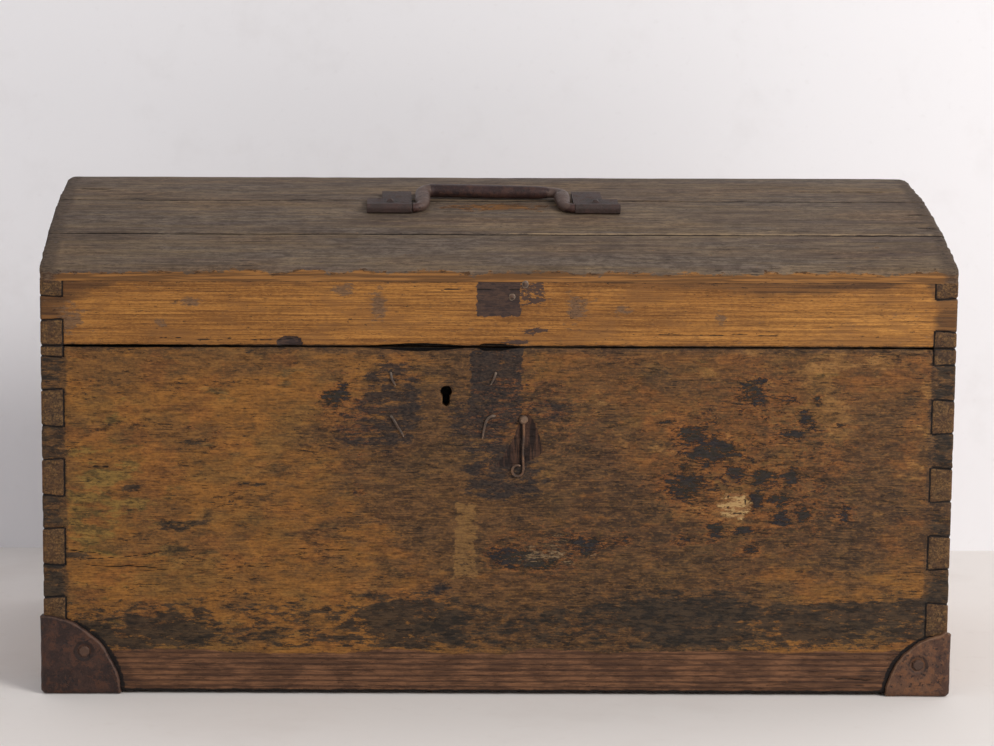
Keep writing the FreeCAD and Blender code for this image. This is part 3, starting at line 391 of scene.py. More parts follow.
class Finish:
    # a material while it is put together; a pattern can be given by its name wherever a value is
    # patterns: name to lump length along the grain and width across it in mm, detail, roughness, shift
    def __init__(self, name, axis="X", patterns=None):
        self.material = bpy.data.materials.new(name)
        self.material.use_nodes = True
        self.tree = self.material.node_tree
        self.tree.nodes.clear()
        self.object = self.node("ShaderNodeTexCoord", output="Object")
        self.axis, self.patterns, self.made = axis, patterns or {}, {}

    def __getitem__(self, name):
        # a pattern by its name, made when it is first asked for
        if name not in self.made:
            length, width, *rest = self.patterns[name]
            self.made[name] = self.noise(tuple(length if letter == self.axis else width for letter in "XYZ"), *rest)
        return self.made[name]

    def node(self, kind, settings=None, inputs=None, output=0):
        made = self.tree.nodes.new(kind)
        for key, value in (settings or {}).items():
            if key == "stops":
                elements = made.color_ramp.elements
                for spot, (position, colour) in enumerate(value):
                    stop = elements[spot] if spot < 2 else elements.new(position)
                    stop.position = position
                    stop.color = colour
            else:
                setattr(made, key, value)
        for key, value in (inputs or {}).items():
            if isinstance(value, Value):
                self.tree.links.new(value.socket, made.inputs[key])
            else:
                made.inputs[key].default_value = value
        return Value(self, made.outputs[output]) if len(made.outputs) else None

    def maths(self, operation, first, second=0.0):
        return self.node("ShaderNodeMath", {"operation": operation}, {0: first, 1: second})

    def rise(self, value, low, high):
        # 0 below low to 1 above high, or the other way round where low is the greater
        value = self[value] if isinstance(value, str) else value
        return self.node("ShaderNodeMapRange", {"interpolation_type": "SMOOTHSTEP"},
                         {"Value": value, "From Min": low, "From Max": high})

    def shade(self, colour):
        # a colour of 0 to 255, or two that a pattern blends: (pattern, low, high, first, second)
        if isinstance(colour, Value):
            return colour
        return tone(*colour) if len(colour) == 3 else self.mix(self.rise(*colour[:3]), *colour[3:])

    def mix(self, share, first, second):
        return self.node("ShaderNodeMix", {"data_type": "RGBA", "clamp_factor": True},
                         {0: share, 6: self.shade(first), 7: self.shade(second)}, 2)

    def over(self, colour, rows):
        # colours laid over one another: pattern, low, high, share, colour
        for pattern, low, high, share, shade in rows:
            colour = self.mix(self.rise(pattern, low, high) * share, colour, shade)
        return colour

    def ramp(self, value, tones):
        # colours laid one into the next as the value rises through its middle range
        spots = np.linspace(0.36, 0.64, len(tones))
        stops = [(float(spot), tone(*shade)) for spot, shade in zip(spots, tones)]
        return self.node("ShaderNodeValToRGB", {"stops": stops}, {"Fac": value})

    def mask(self, name):
        return self.node("ShaderNodeAttribute", {"attribute_name": name}, output="Fac")

    def torn(self, mask, pattern, reach, low, high):
        # a mark given by a mask, with its edge torn by a pattern
        pattern = self[pattern] if isinstance(pattern, str) else pattern
        return self.rise(self.mask(mask) + (pattern - 0.5) * reach, low, high)

    def marks(self, colour, rows):
        # torn marks laid over one another: mask, pattern, reach, low, high, share, colour
        for *mark, share, shade in rows:
            colour = self.mix(self.torn(*mark) * share, colour, shade)
        return colour

    def placed(self, scale, shift=0.0):
        return self.node("ShaderNodeMapping", None, {
            "Vector": self.object, "Location": (shift, shift * 1.7, shift * 0.6), "Scale": scale})

    def noise(self, size, detail=2.0, rough=0.5, shift=0.0):
        # cloudy pattern whose lumps are size = (x, y, z) mm across
        vector = self.placed(tuple(1000.0 / part for part in size), shift)
        return self.node("ShaderNodeTexNoise", {"noise_dimensions": "3D"}, {
            "Vector": vector, "Scale": 1.0, "Detail": detail, "Roughness": rough})

    def yearLines(self, stretch, scale, bend, detailScale):
        # lines of growth that run along x, bent a little
        return self.node("ShaderNodeTexWave", {
            "wave_type": "BANDS", "bands_direction": "Z", "wave_profile": "SIN"}, {
            "Vector": self.placed((stretch, 0.4, 1.0)), "Scale": scale, "Distortion": bend, "Detail": 2.0,
            "Detail Scale": detailScale}, 1)

    def bump(self, height, depth):
        # depth in mm between the lowest and the highest places
        return self.node("ShaderNodeBump", None, {"Height": height, "Strength": 1.0, "Distance": depth * mm})

    def done(self, colour, roughness, normal=None, metallic=0.0, specular=0.5, oneSided=False):
        inputs = {"Base Color": colour, "Roughness": roughness, "Metallic": metallic,
                  "Specular IOR Level": specular}
        if normal is not None:
            inputs["Normal"] = normal
        shader = self.node("ShaderNodeBsdfPrincipled", None, inputs)
        if oneSided:
            behind = self.node("ShaderNodeNewGeometry", output="Backfacing")
            shader = self.node("ShaderNodeMixShader", None, {
                0: behind, 1: shader, 2: self.node("ShaderNodeBsdfTransparent")})
        self.node("ShaderNodeOutputMaterial", None, {"Surface": shader})
        return self.material


# Sawn-off fibres: lumps in mm, detail, roughness and shift of the pores, the rings and the blotches; then a stain,
# and the gap colour for dirt and painted shade in the joints
endWood = {
    "pores": ((1.7, 1.7, 1.7), 3, 0.72, 3.3), "rings": ((9, 9, 1.6), 3, 0.6, 6.1),
    "blotches": ((9, 9, 7), 4, 0.66, 4.9), "stained": (50, 38, 34), "gap": (24, 19, 19),
}


def endGrain(f, colour, share, joint, light, dark):
    # sawn-off fibres on the end faces: pores, darker rings, blotches, dirt and painted shade in the joints
    pores, rings, blotches = [f.noise(*endWood[key]) for key in ("pores", "rings", "blotches")]
    end = f.mix(f.rise(pores, 0.38, 0.62), dark, light)
    end = f.over(end, ((rings, 0.47, 0.60, 0.65, dark), (blotches, 0.46, 0.60, 0.6, endWood["stained"])))
    end = f.mix(joint * 0.92, end, endWood["gap"])
    return f.mix(f.mask("endFace") * share if share < 1.0 else f.mask("endFace"), colour, end)


# Bare wood: each row is pattern, low, high, share, colour
bareWood = {
    "inside": ("mottle", 0.42, 0.60, (142, 110, 74), (112, 84, 56)),
    "dust": (("fine", 0.46, 0.64, 0.55, (84, 60, 40)), ("small", 0.56, 0.66, 0.6, (70, 54, 42))),
    "cut": ("grain", 0.42, 0.60, (112, 88, 62), (66, 50, 38)),
    "rubbed": (("mottle", 0.48, 0.60, 0.6, (52, 41, 34)),),
    # gap: near black, painted shade on the sunk parts of the sawn edges
    "gap": (13, 10, 10),
}


def bareParts(f, colour):
    # the insides, dusty and unvarnished, and the sawn edges, greyer and rubbed, with painted shade where they are
    # sunk into the saw gap
    colour = f.mix(f.mask("inner"), colour, f.over(bareWood["inside"], bareWood["dust"]))
    colour = f.mix(f.mask("sawn"), colour, f.over(bareWood["cut"], bareWood["rubbed"]))
    return f.mix(f.mask("sawn") * f.rise(f.mask("joint"), 0.1, 0.7), colour, bareWood["gap"])


bodyWood = {
    "patterns": {
        "broad": (150, 60, 3, 0.55, 3.1), "mottle": (46, 16, 6, 0.70, 7.7), "small": (12, 4.6, 5, 0.72, 2.7),
        "fine": (30, 1.2, 3, 0.64, 1.3), "grain": (3.0, 1.7, 3, 0.72, 5.9), "dashes": (12, 1.9, 5, 0.74, 2.2),
        "ragged": (13, 4.4, 7, 0.80, 4.4), "scraped": (26, 7.0, 7, 0.76, 11.2), "olive": (80, 40, 5, 0.66, 19.0),
        "murk": (80, 40, 6, 0.66, 14.0), "rust": (44, 24, 5, 0.66, 6.4), "pale": (38, 22, 5, 0.68, 37.0),
        "where": (60, 26, 4, 0.66, 8.3), "threads": (16, 1.1, 4, 0.72, 17.0), "scuffs": (6.0, 2.6, 6, 0.82, 27.0),
        "chipped": (8.0, 3.4, 7, 0.84, 24.4), "spikes": (11.0, 2.2, 6, 0.80, 41.0), "bits": (5.4, 2.6, 5, 0.80, 31.0),
    },
    "golden": ((90, 62, 32), (116, 78, 37), (136, 89, 39), (150, 100, 44), (168, 116, 56)),
    "brownish": ((60, 44, 29), (82, 56, 32), (99, 65, 35), (112, 73, 37), (130, 86, 44)),
    # pattern, low, high, share, colour
    "ground": (
        ("olive", 0.48, 0.60, 0.45, ("small", 0.42, 0.58, (84, 66, 38), (116, 90, 48))),
        ("murk", 0.48, 0.60, 0.55, ("small", 0.42, 0.58, (66, 49, 34), (96, 69, 42))),
        ("rust", 0.50, 0.61, 0.5, ("small", 0.42, 0.6, (110, 66, 32), (150, 94, 44)))),
    "pale": ("small", 0.42, 0.6, (140, 98, 50), (176, 130, 74)),
    # mask, pattern, reach, low, high, share, colour
    "marks": (
        ("green", "mottle", 4.0, 0.35, 0.75, 0.75, ("small", 0.42, 0.58, (78, 68, 36), (130, 105, 52))),
        ("brown", "mottle", 3.4, 0.30, 0.85, 0.8, ("small", 0.42, 0.58, (44, 34, 27), (84, 61, 41))),
        ("smear", "ragged", 3.0, 0.35, 0.75, 0.7, (134, 99, 56))),
    "fibres": (
        ("fine", 0.49, 0.63, 0.24, (58, 38, 23)), ("fine", 0.45, 0.33, 0.2, (172, 122, 62)),
        ("grain", 0.50, 0.64, 0.28, (54, 37, 24)), ("grain", 0.48, 0.36, 0.24, (160, 113, 58))),
    # pattern, how much more of it there is in some places, low, high, share, colour
    "specks": (
        ("dashes", 0.05, 0.640, 0.670, 0.86, (38, 29, 24)), ("ragged", 0.06, 0.670, 0.690, 0.92, (29, 24, 25)),
        ("threads", 0.04, 0.635, 0.66, 0.9, (26, 20, 18)), ("scuffs", 0.07, 0.655, 0.68, 0.9, (27, 22, 23))),
    "rubs": (("scuffs", 0.36, 0.30, 0.6, (172, 126, 72)),),
    "dirt": ("small", 0.42, 0.58, (32, 28, 24), (60, 48, 36)),
    "stain": ("grain", 0.42, 0.60, (52, 43, 38), (27, 23, 25)),
    "foot": ("mottle", 0.42, 0.60, (92, 62, 42), (124, 85, 58)),
    "footLine": (48, 29, 22), "footFibres": (("fine", 0.47, 0.64, 0.6, (58, 37, 28)),), "footDirt": (44, 33, 28),
    "bare": ("small", 0.43, 0.57, (176, 142, 94), (122, 86, 54)),
    "beside": ("grain", 0.42, 0.60, (148, 90, 42), (108, 66, 40)),
    "flake": ("grain", 0.48, 0.62, ("mottle", 0.44, 0.56, (29, 28, 33), (38, 35, 28)), (50, 45, 44)),
    "chips": ("grain", 0.42, 0.58, (158, 130, 96), (112, 84, 58)),
    "fan": ((2.2, 4.0, 26.0), 3, 0.6, 6.6), "fanDark": (28, 17, 15), "fanLight": (72, 48, 36),
    # joint: dirt in the dovetails and painted shade in the saw gap, the foot, the keyhole and round the plates
    "crack": (20, 15, 14), "joint": (17, 13, 13), "endLight": (122, 92, 58), "endDark": (52, 38, 28),
}


def frontMarks(f, colour, height, warmShare):
    # the front's own marks: dirt, stains, cleaner foot, bared knot, dark flakes, chips, the hook's fan, cracks
    wood = bodyWood
    dirt = f.torn("dirt", f["scraped"] * 0.5 + f["ragged"] * 0.5, 5.0, 0.5, 0.8)
    colour = f.mix(dirt * 0.9, colour, wood["dirt"])
    stain = f.torn("stain", f["scraped"] * 0.4 + f["ragged"] * 0.6, 4.4, 0.46, 0.70)
    colour = f.mix(stain * 0.9, colour, wood["stain"])
    lines = f.rise(f.yearLines(0.05, 62.0, 2.6, 9.0), 0.5, 0.95)
    foot = f.over(f.mix(lines * 0.62, wood["foot"], wood["footLine"]), wood["footFibres"])
    foot = f.mix(dirt * 0.5, foot, wood["footDirt"])
    colour = f.mix(f.torn("clean", "small", 0.8, 0.40, 0.60), colour, foot)
    bare = f.torn("bare", "chipped", 4.0, 0.42, 0.52) * f.rise(f.mask("bare"), 0.02, 0.2)
    colour = f.mix(bare, colour, wood["bare"])
    # flakes of old varnish: middling ones where the mask says, small ones mostly in the browner parts
    torso = f["chipped"] * 0.45 + f["spikes"] * 0.35 + f["scraped"] * 0.2 + f.mask("flake") * 0.19
    beside = f.rise(torso, 0.575, 0.63) * f.rise("small", 0.40, 0.56)
    colour = f.mix(beside * 0.6, colour, wood["beside"])
    flakes = f.rise(torso, 0.648, 0.660) * (1.0 - bare)
    for more, low, high in ((f.mask("flake") * 0.12, 0.680, 0.692), (warmShare * 0.02, 0.690, 0.702)):
        flakes = f.maths("MAXIMUM", flakes, f.rise(f["bits"] + more, low, high) * (1.0 - bare))
    colour = f.mix(flakes * 0.97, colour, wood["flake"])
    chips = f.rise(f["scraped"] * 0.4 + f["dashes"] * 0.6 + f.mask("chips") * 0.2, 0.70, 0.73)
    colour = f.mix(chips * 0.8, colour, wood["chips"])
    fan = f.mix(f.rise(f.noise(*wood["fan"]), 0.42, 0.60), wood["fanDark"], wood["fanLight"])
    colour = f.marks(colour, (("hollow", "ragged", 0.35, 0.38, 0.58, 0.95, fan),))
    colour = f.mix(f.rise(f.mask("crack"), 0.35, 0.75) * 0.95, colour, wood["crack"])
    return colour, height - flakes * 1.6 + bare * 0.3 + chips * 0.4


def bodyFinish(name, axis, front):
    # old varnished pine worn to ochre and brown: mottled ground, fine grain, dark dashes and specks over it
    wood = bodyWood
    f = Finish(name, axis, wood["patterns"])
    blend = f["mottle"] * 0.55 + f["small"] * 0.45
    warmShare = f.torn("warm", "mottle", 0.9, 0.2, 0.8) if front else f.rise("broad", 0.40, 0.62)
    colour = f.mix(warmShare, f.ramp(blend, wood["golden"]), f.ramp(blend, wood["brownish"]))
    colour = f.over(colour, wood["ground"])
    colour = f.mix(f.rise("pale", 0.54, 0.64) * warmShare * 0.5, colour, wood["pale"])
    if front:
        colour = f.marks(colour, wood["marks"])
    colour = f.over(colour, wood["fibres"])
    where = f.rise("where", 0.44, 0.60)
    colour = f.over(colour, [(f[pattern] + where * more, *row) for pattern, more, *row in wood["specks"]])
    colour = f.over(colour, wood["rubs"])
    height = (1.0 - f.rise("fine", 0.38, 0.66)) * 0.45 + f["grain"] * 0.5 - f.rise("dashes", 0.57, 0.64) * 0.6
    if front:
        colour, height = frontMarks(f, colour, height, warmShare)
    # dark joints: dirt along the dovetails, painted shade in the saw gap, along the foot, in the keyhole and round
    # the plates
    joint = f.torn("joint", "ragged", 1.4, 0.40, 0.70)
    colour = f.mix(joint * 0.96, colour, wood["joint"])
    colour = endGrain(f, colour, 0.8, joint, wood["endLight"], wood["endDark"])
    rough = 0.56 + f["fine"] * 0.14 + f.rise("mottle", 0.5, 0.65) * 0.1
    return f.done(bareParts(f, colour), rough, f.bump(height, 0.45), specular=0.22)


railWood = {
    "patterns": {
        "broad": (200, 30, 3, 0.5, 2.6), "mottle": (40, 12, 5, 0.66, 8.8), "fine": (70, 1.0, 3, 0.58, 1.9),
        "streak": (150, 2.8, 3, 0.55, 6.1), "grain": (3.6, 0.9, 3, 0.7, 5.2), "small": (8.0, 2.4, 6, 0.78, 3.8),
        "ragged": (9, 3.2, 6, 0.74, 4.4), "murk": (70, 26, 6, 0.70, 15.0), "threads": (14, 1.1, 4, 0.72, 17.0),
    },
    "ground": ((112, 71, 31), (142, 93, 42), (158, 105, 48), (170, 115, 53), (188, 130, 62)),
    "streaks": (("streak", 0.47, 0.60, 0.42, (118, 74, 33)),),
    "yearLine": (92, 56, 26),
    "fibres": (
        ("fine", 0.48, 0.64, 0.5, (88, 54, 26)), ("fine", 0.45, 0.32, 0.36, (196, 140, 72)),
        ("grain", 0.51, 0.63, 0.42, (96, 62, 32)), ("grain", 0.48, 0.36, 0.3, (186, 134, 72)),
        ("murk", 0.50, 0.62, 0.5, ("grain", 0.42, 0.58, (112, 74, 40), (134, 92, 52))),
        ("threads", 0.64, 0.67, 0.85, (36, 25, 19))),
    "brown": (("brown", "mottle", 1.6, 0.3, 0.85, 0.82, ("streak", 0.42, 0.58, (64, 44, 30), (112, 76, 42))),),
    "mottles": (("mottle", 0.54, 0.66, 0.45, (98, 62, 32)),),
    "speck": (40, 27, 20),
    "marks": (
        ("grey", "ragged", 4.0, 0.45, 0.75, 0.75, ("grain", 0.42, 0.58, (74, 58, 48), (112, 88, 68))),
        ("stain", "ragged", 2.2, 0.44, 0.56, 0.94, ("ragged", 0.44, 0.58, (42, 35, 37), (68, 52, 46)))),
    # joint: dirt in the dovetails and painted shade in the saw gap
    "crack": (24, 17, 14), "joint": (22, 16, 14), "endLight": (122, 92, 58), "endDark": (52, 38, 28),
}


def railFinish(name):
    # the lid's front rail: straight orange grain with fine dark lines, dirtier towards the ends
    wood = railWood
    f = Finish(name, "X", wood["patterns"])
    lines = f.yearLines(0.045, 74.0, 3.4, 11.0)
    colour = f.ramp(f["broad"] * 0.55 + f["mottle"] * 0.45, wood["ground"])
    colour = f.over(colour, wood["streaks"] + ((lines, 0.66, 0.98, 0.42, wood["yearLine"]),) + wood["fibres"])
    colour = f.over(f.marks(colour, wood["brown"]), wood["mottles"])
    colour = f.mix(f.rise(f["small"] + f.mask("brown") * 0.02, 0.61, 0.645) * 0.85, colour, wood["speck"])
    colour = f.marks(colour, wood["marks"])
    colour = f.mix(f.rise(f.mask("crack"), 0.35, 0.75) * 0.95, colour, wood["crack"])
    # dark joints: dirt along the dovetails, painted shade in the saw gap at the foot
    joint = f.torn("joint", "ragged", 1.2, 0.42, 0.75)
    colour = f.mix(joint * 0.94, colour, wood["joint"])
    colour = endGrain(f, colour, 0.8, joint, wood["endLight"], wood["endDark"])
    height = (1.0 - f.rise("fine", 0.4, 0.7)) * 0.5 + f["grain"] * 0.35 - f.rise(lines, 0.6, 1.0) * 0.4
    return f.done(bareParts(f, colour), 0.54 + f["fine"] * 0.14, f.bump(height, 0.4), specular=0.22)


lidWood = {
    "patterns": {
        "broad": (130, 44, 4, 0.6, 1.7), "mottle": (54, 16, 6, 0.68, 6.6), "small": (12, 5, 5, 0.72, 9.1),
        "fine": (80, 1.8, 3, 0.62, 2.9), "grain": (5.0, 1.3, 3, 0.72, 5.5), "streak": (240, 7, 4, 0.62, 4.7),
        "specks": (11, 2.8, 6, 0.78, 3.2), "band": (200, 38, 6, 0.66, 12.3), "threads": (26, 1.2, 4, 0.72, 17.0),
    },
    "ground": ((60, 50, 44), (86, 72, 61), (102, 86, 72), (114, 97, 79), (140, 117, 92)),
    "fibres": (
        ("band", 0.50, 0.60, 0.6, ("small", 0.42, 0.58, (92, 72, 54), (128, 104, 80))),
        ("band", 0.49, 0.39, 0.6, ("small", 0.42, 0.58, (76, 66, 60), (110, 98, 88))),
        ("streak", 0.52, 0.60, 0.3, (126, 104, 74)), ("streak", 0.44, 0.36, 0.3, (84, 68, 66)),
        ("threads", 0.60, 0.64, 0.85, (36, 29, 27)), ("fine", 0.49, 0.62, 0.36, (56, 47, 41)),
        ("fine", 0.44, 0.32, 0.26, (146, 126, 104)), ("grain", 0.51, 0.66, 0.45, (58, 49, 43)),
        ("specks", 0.625, 0.66, 0.8, (38, 31, 29))),
    "warm": ("fine", 0.42, 0.56, (148, 100, 50), (104, 70, 38)),
    "brink": (44, 32, 25),
    "marks": (
        ("worn", "small", 1.2, 0.45, 0.7, 0.7, (158, 134, 104)),
        ("ends", "mottle", 1.6, 0.35, 0.8, 0.75, ("grain", 0.42, 0.58, (52, 43, 38), (92, 77, 64)))),
    # joint: dirt and painted shade in the gaps between the boards
    "crack": (24, 19, 18), "joint": (22, 17, 16), "endLight": (104, 86, 70), "endDark": (46, 38, 34),
}


def lidFinish(name):
    # bare weathered boards gone grey-brown, with fine raised grain and warmer streaks
    wood = lidWood
    f = Finish(name, "X", wood["patterns"])
    colour = f.ramp(f["broad"] * 0.3 + f["mottle"] * 0.4 + f["small"] * 0.3, wood["ground"])
    colour = f.over(colour, wood["fibres"])
    # a rubbed edge, with a dark brink round what is left of the old surface
    warm = f.torn("warm", "small", 2.6, 0.40, 0.62)
    colour = f.mix(warm * 0.9, colour, wood["warm"])
    brink = f.rise(warm * (1.0 - f.mask("warm")) + (f["specks"] - 0.5) * 3.0, 0.44, 0.54)
    colour = f.marks(f.mix(brink * 0.75, colour, wood["brink"]), wood["marks"])
    colour = f.mix(f.rise(f.mask("crack"), 0.30, 0.7) * 0.95, colour, wood["crack"])
    # dark edges of the boards: dirt and painted shade in the gaps between them
    joint = f.torn("joint", "fine", 0.5, 0.4, 0.85)
    colour = f.mix(joint * 0.94, colour, wood["joint"])
    colour = endGrain(f, colour, 1.0, joint, wood["endLight"], wood["endDark"])
    height = (1.0 - f.rise("fine", 0.36, 0.66)) * 0.4 + f["grain"] * 0.5
    return f.done(colour, 0.68 + f["fine"] * 0.14, f.bump(height, 0.5), specular=0.2)


rawWood = {
    "patterns": {"broad": (180, 40, 3, 0.5, 4.2), "fine": (50, 1.2, 3, 0.6, 1.1), "specks": (9, 3.0, 4, 0.7, 3.6)},
    "ground": ("broad", 0.35, 0.65, (150, 118, 80), (126, 98, 68)),
    "fibres": (("fine", 0.48, 0.75, 0.5, (92, 66, 42)), ("specks", 0.68, 0.78, 0.6, (60, 46, 36))),
}


def rawFinish(name, axis):
    # unpainted inner wood, dusty
    f = Finish(name, axis, rawWood["patterns"])
    colour = f.over(rawWood["ground"], rawWood["fibres"])
    return f.done(colour, 0.72, f.bump(1.0 - f["fine"], 0.3), specular=0.3)


# Irons: dark, middle, rust and light tone, share of rust and of rubbed edges, roughness, metal, relief in mm, shift
ironWords = ("dark", "mid", "rust", "light", "rustShare", "rubbed", "rough", "metal", "bump", "shift")
ironLooks = {
    "plateIron": ((44, 28, 24), (62, 40, 32), (88, 54, 36), (96, 70, 56), 0.5, 0.3, 0.5, 0.1, 0.6, 1.3),
    "plateIronRusty": ((70, 45, 33), (94, 63, 44), (118, 77, 49), (124, 94, 70), 0.6, 0.3, 0.55, 0.1, 0.6, 4.1),
    "handleIron": ((44, 28, 27), (64, 42, 38), (84, 56, 44), (112, 90, 80), 0.45, 0.5, 0.46, 0.15, 0.5, 2.6),
    "bracketIron": ((16, 11, 12), (36, 22, 23), (60, 37, 34), (92, 72, 64), 0.6, 0.3, 0.6, 0.0, 0.7, 6.3),
    "nailIron": ((56, 43, 36), (84, 64, 52), (112, 76, 52), (178, 160, 140), 0.4, 0.6, 0.48, 0.2, 0.3, 5.2),
    "hookIron": ((50, 36, 30), (86, 60, 44), (122, 82, 52), (150, 124, 100), 0.5, 0.4, 0.55, 0.1, 0.4, 8.2),
    "bradIron": ((74, 63, 56), (92, 78, 68), (96, 76, 62), (112, 96, 82), 0.4, 0.0, 0.7, 0.0, 0.3, 5.2),
    "headIron": ((44, 29, 25), (66, 44, 35), (92, 60, 42), (104, 80, 64), 0.6, 0.3, 0.5, 0.1, 0.4, 9.1),
    "lockIron": ((58, 52, 50), (78, 68, 62), (112, 78, 56), (140, 132, 124), 0.35, 0.5, 0.45, 0.5, 0.3, 7.4),
}
# mask, reach, low, high, share, colour of what the irons' own masks show; the plates' rim mark is a painted highlight
# along their thin edge
ironMarks = {
    "plateIron": (("rim", 0.55, 0.9, 0.55, "light"), ("ring", 0.5, 0.9, 0.75, (30, 21, 20))),
    "handleIron": (("arm", 0.5, 0.9, 0.75, (92, 74, 66)),),
}
ironMarks["plateIronRusty"] = ironMarks["plateIron"]
ironPit = (28, 20, 20)


def ironFinish(name, look):
    # forged iron gone brown: broad patches, rust bloom, dark pits and rubbed edges
    f = Finish(name, "X", {
        "broad": (26, 26, 4, 0.6, look["shift"]), "bloom": (7, 7, 5, 0.68, 2.0 + look["shift"]),
        "grit": (1.4, 1.4, 3, 0.7, 3.0), "pits": (3.2, 3.2, 3, 0.6, 8.0)})
    colour = f.over(("broad", 0.42, 0.58, look["dark"], look["mid"]), (
        ("bloom", 0.49, 0.60, look["rustShare"], look["rust"]), ("bloom", 0.46, 0.36, 0.6, look["dark"]),
        ("pits", 0.56, 0.66, 0.75, ironPit), ("grit", 0.56, 0.70, 0.3, look["light"]),
        (f.node("ShaderNodeNewGeometry", output="Pointiness"), 0.52, 0.62, look["rubbed"], look["light"])))
    for mask, low, high, share, shade in ironMarks.get(name, ()):
        colour = f.marks(colour, ((mask, "bloom", 2.4, low, high, share, look.get(shade, shade)),))
    height = f["grit"] * 0.5 + f["bloom"] * 0.8 - f.rise("pits", 0.6, 0.75) * 0.8
    rough = look["rough"] + f.rise("bloom", 0.5, 0.7) * 0.18
    return f.done(colour, rough, f.bump(height, look["bump"]), metallic=look["metal"], specular=0.35)


irons = {name: ironFinish(name, dict(zip(ironWords, row))) for name, row in ironLooks.items()}
print("chest: finishes ready")


def hollows(x, z, wear, seeds):
    # worn face: a level, slow hollows and fibres, each a cloud of (depth, length, height) in mm
    level, slow, fibres = wear
    return (level + slow[0] * cloud(x / slow[1], z / slow[2], seeds[0], 2)
            + fibres[0] * cloud(x / fibres[1], z / fibres[2], seeds[1], 2))


def edgeWear(gap, wide, deep, seed, x, z):
    # rounding towards an edge: deep at it, nothing past wide, with nibbled places
    nibble = 1.0 + 0.8 * cloud(x / 6.0, z / 6.0, seed, 2)
    return deep * nibble * fall(gap, wide) ** 2


def cracksAt(x, z, cracks, seed):
    # 1 on a wandering line from end to end, falling off as exp(-(distance / width)^2), and its depth
    share, depth = np.zeros_like(x), np.zeros_like(x)
    for number, (left, right, lowLeft, lowRight, wide, deep) in enumerate(cracks):
        run = np.clip((x - left) / (right - left), 0.0, 1.0)
        line = lowLeft + (lowRight - lowLeft) * run + 1.6 * cloud(x / 13.0, 0 * x + number, seed, 3)
        here = hill(x, left, left + 7, right - 14, right) * bell(z, line, wide)
        share = np.maximum(share, here)
        depth = np.maximum(depth, deep * here)
    return share, depth


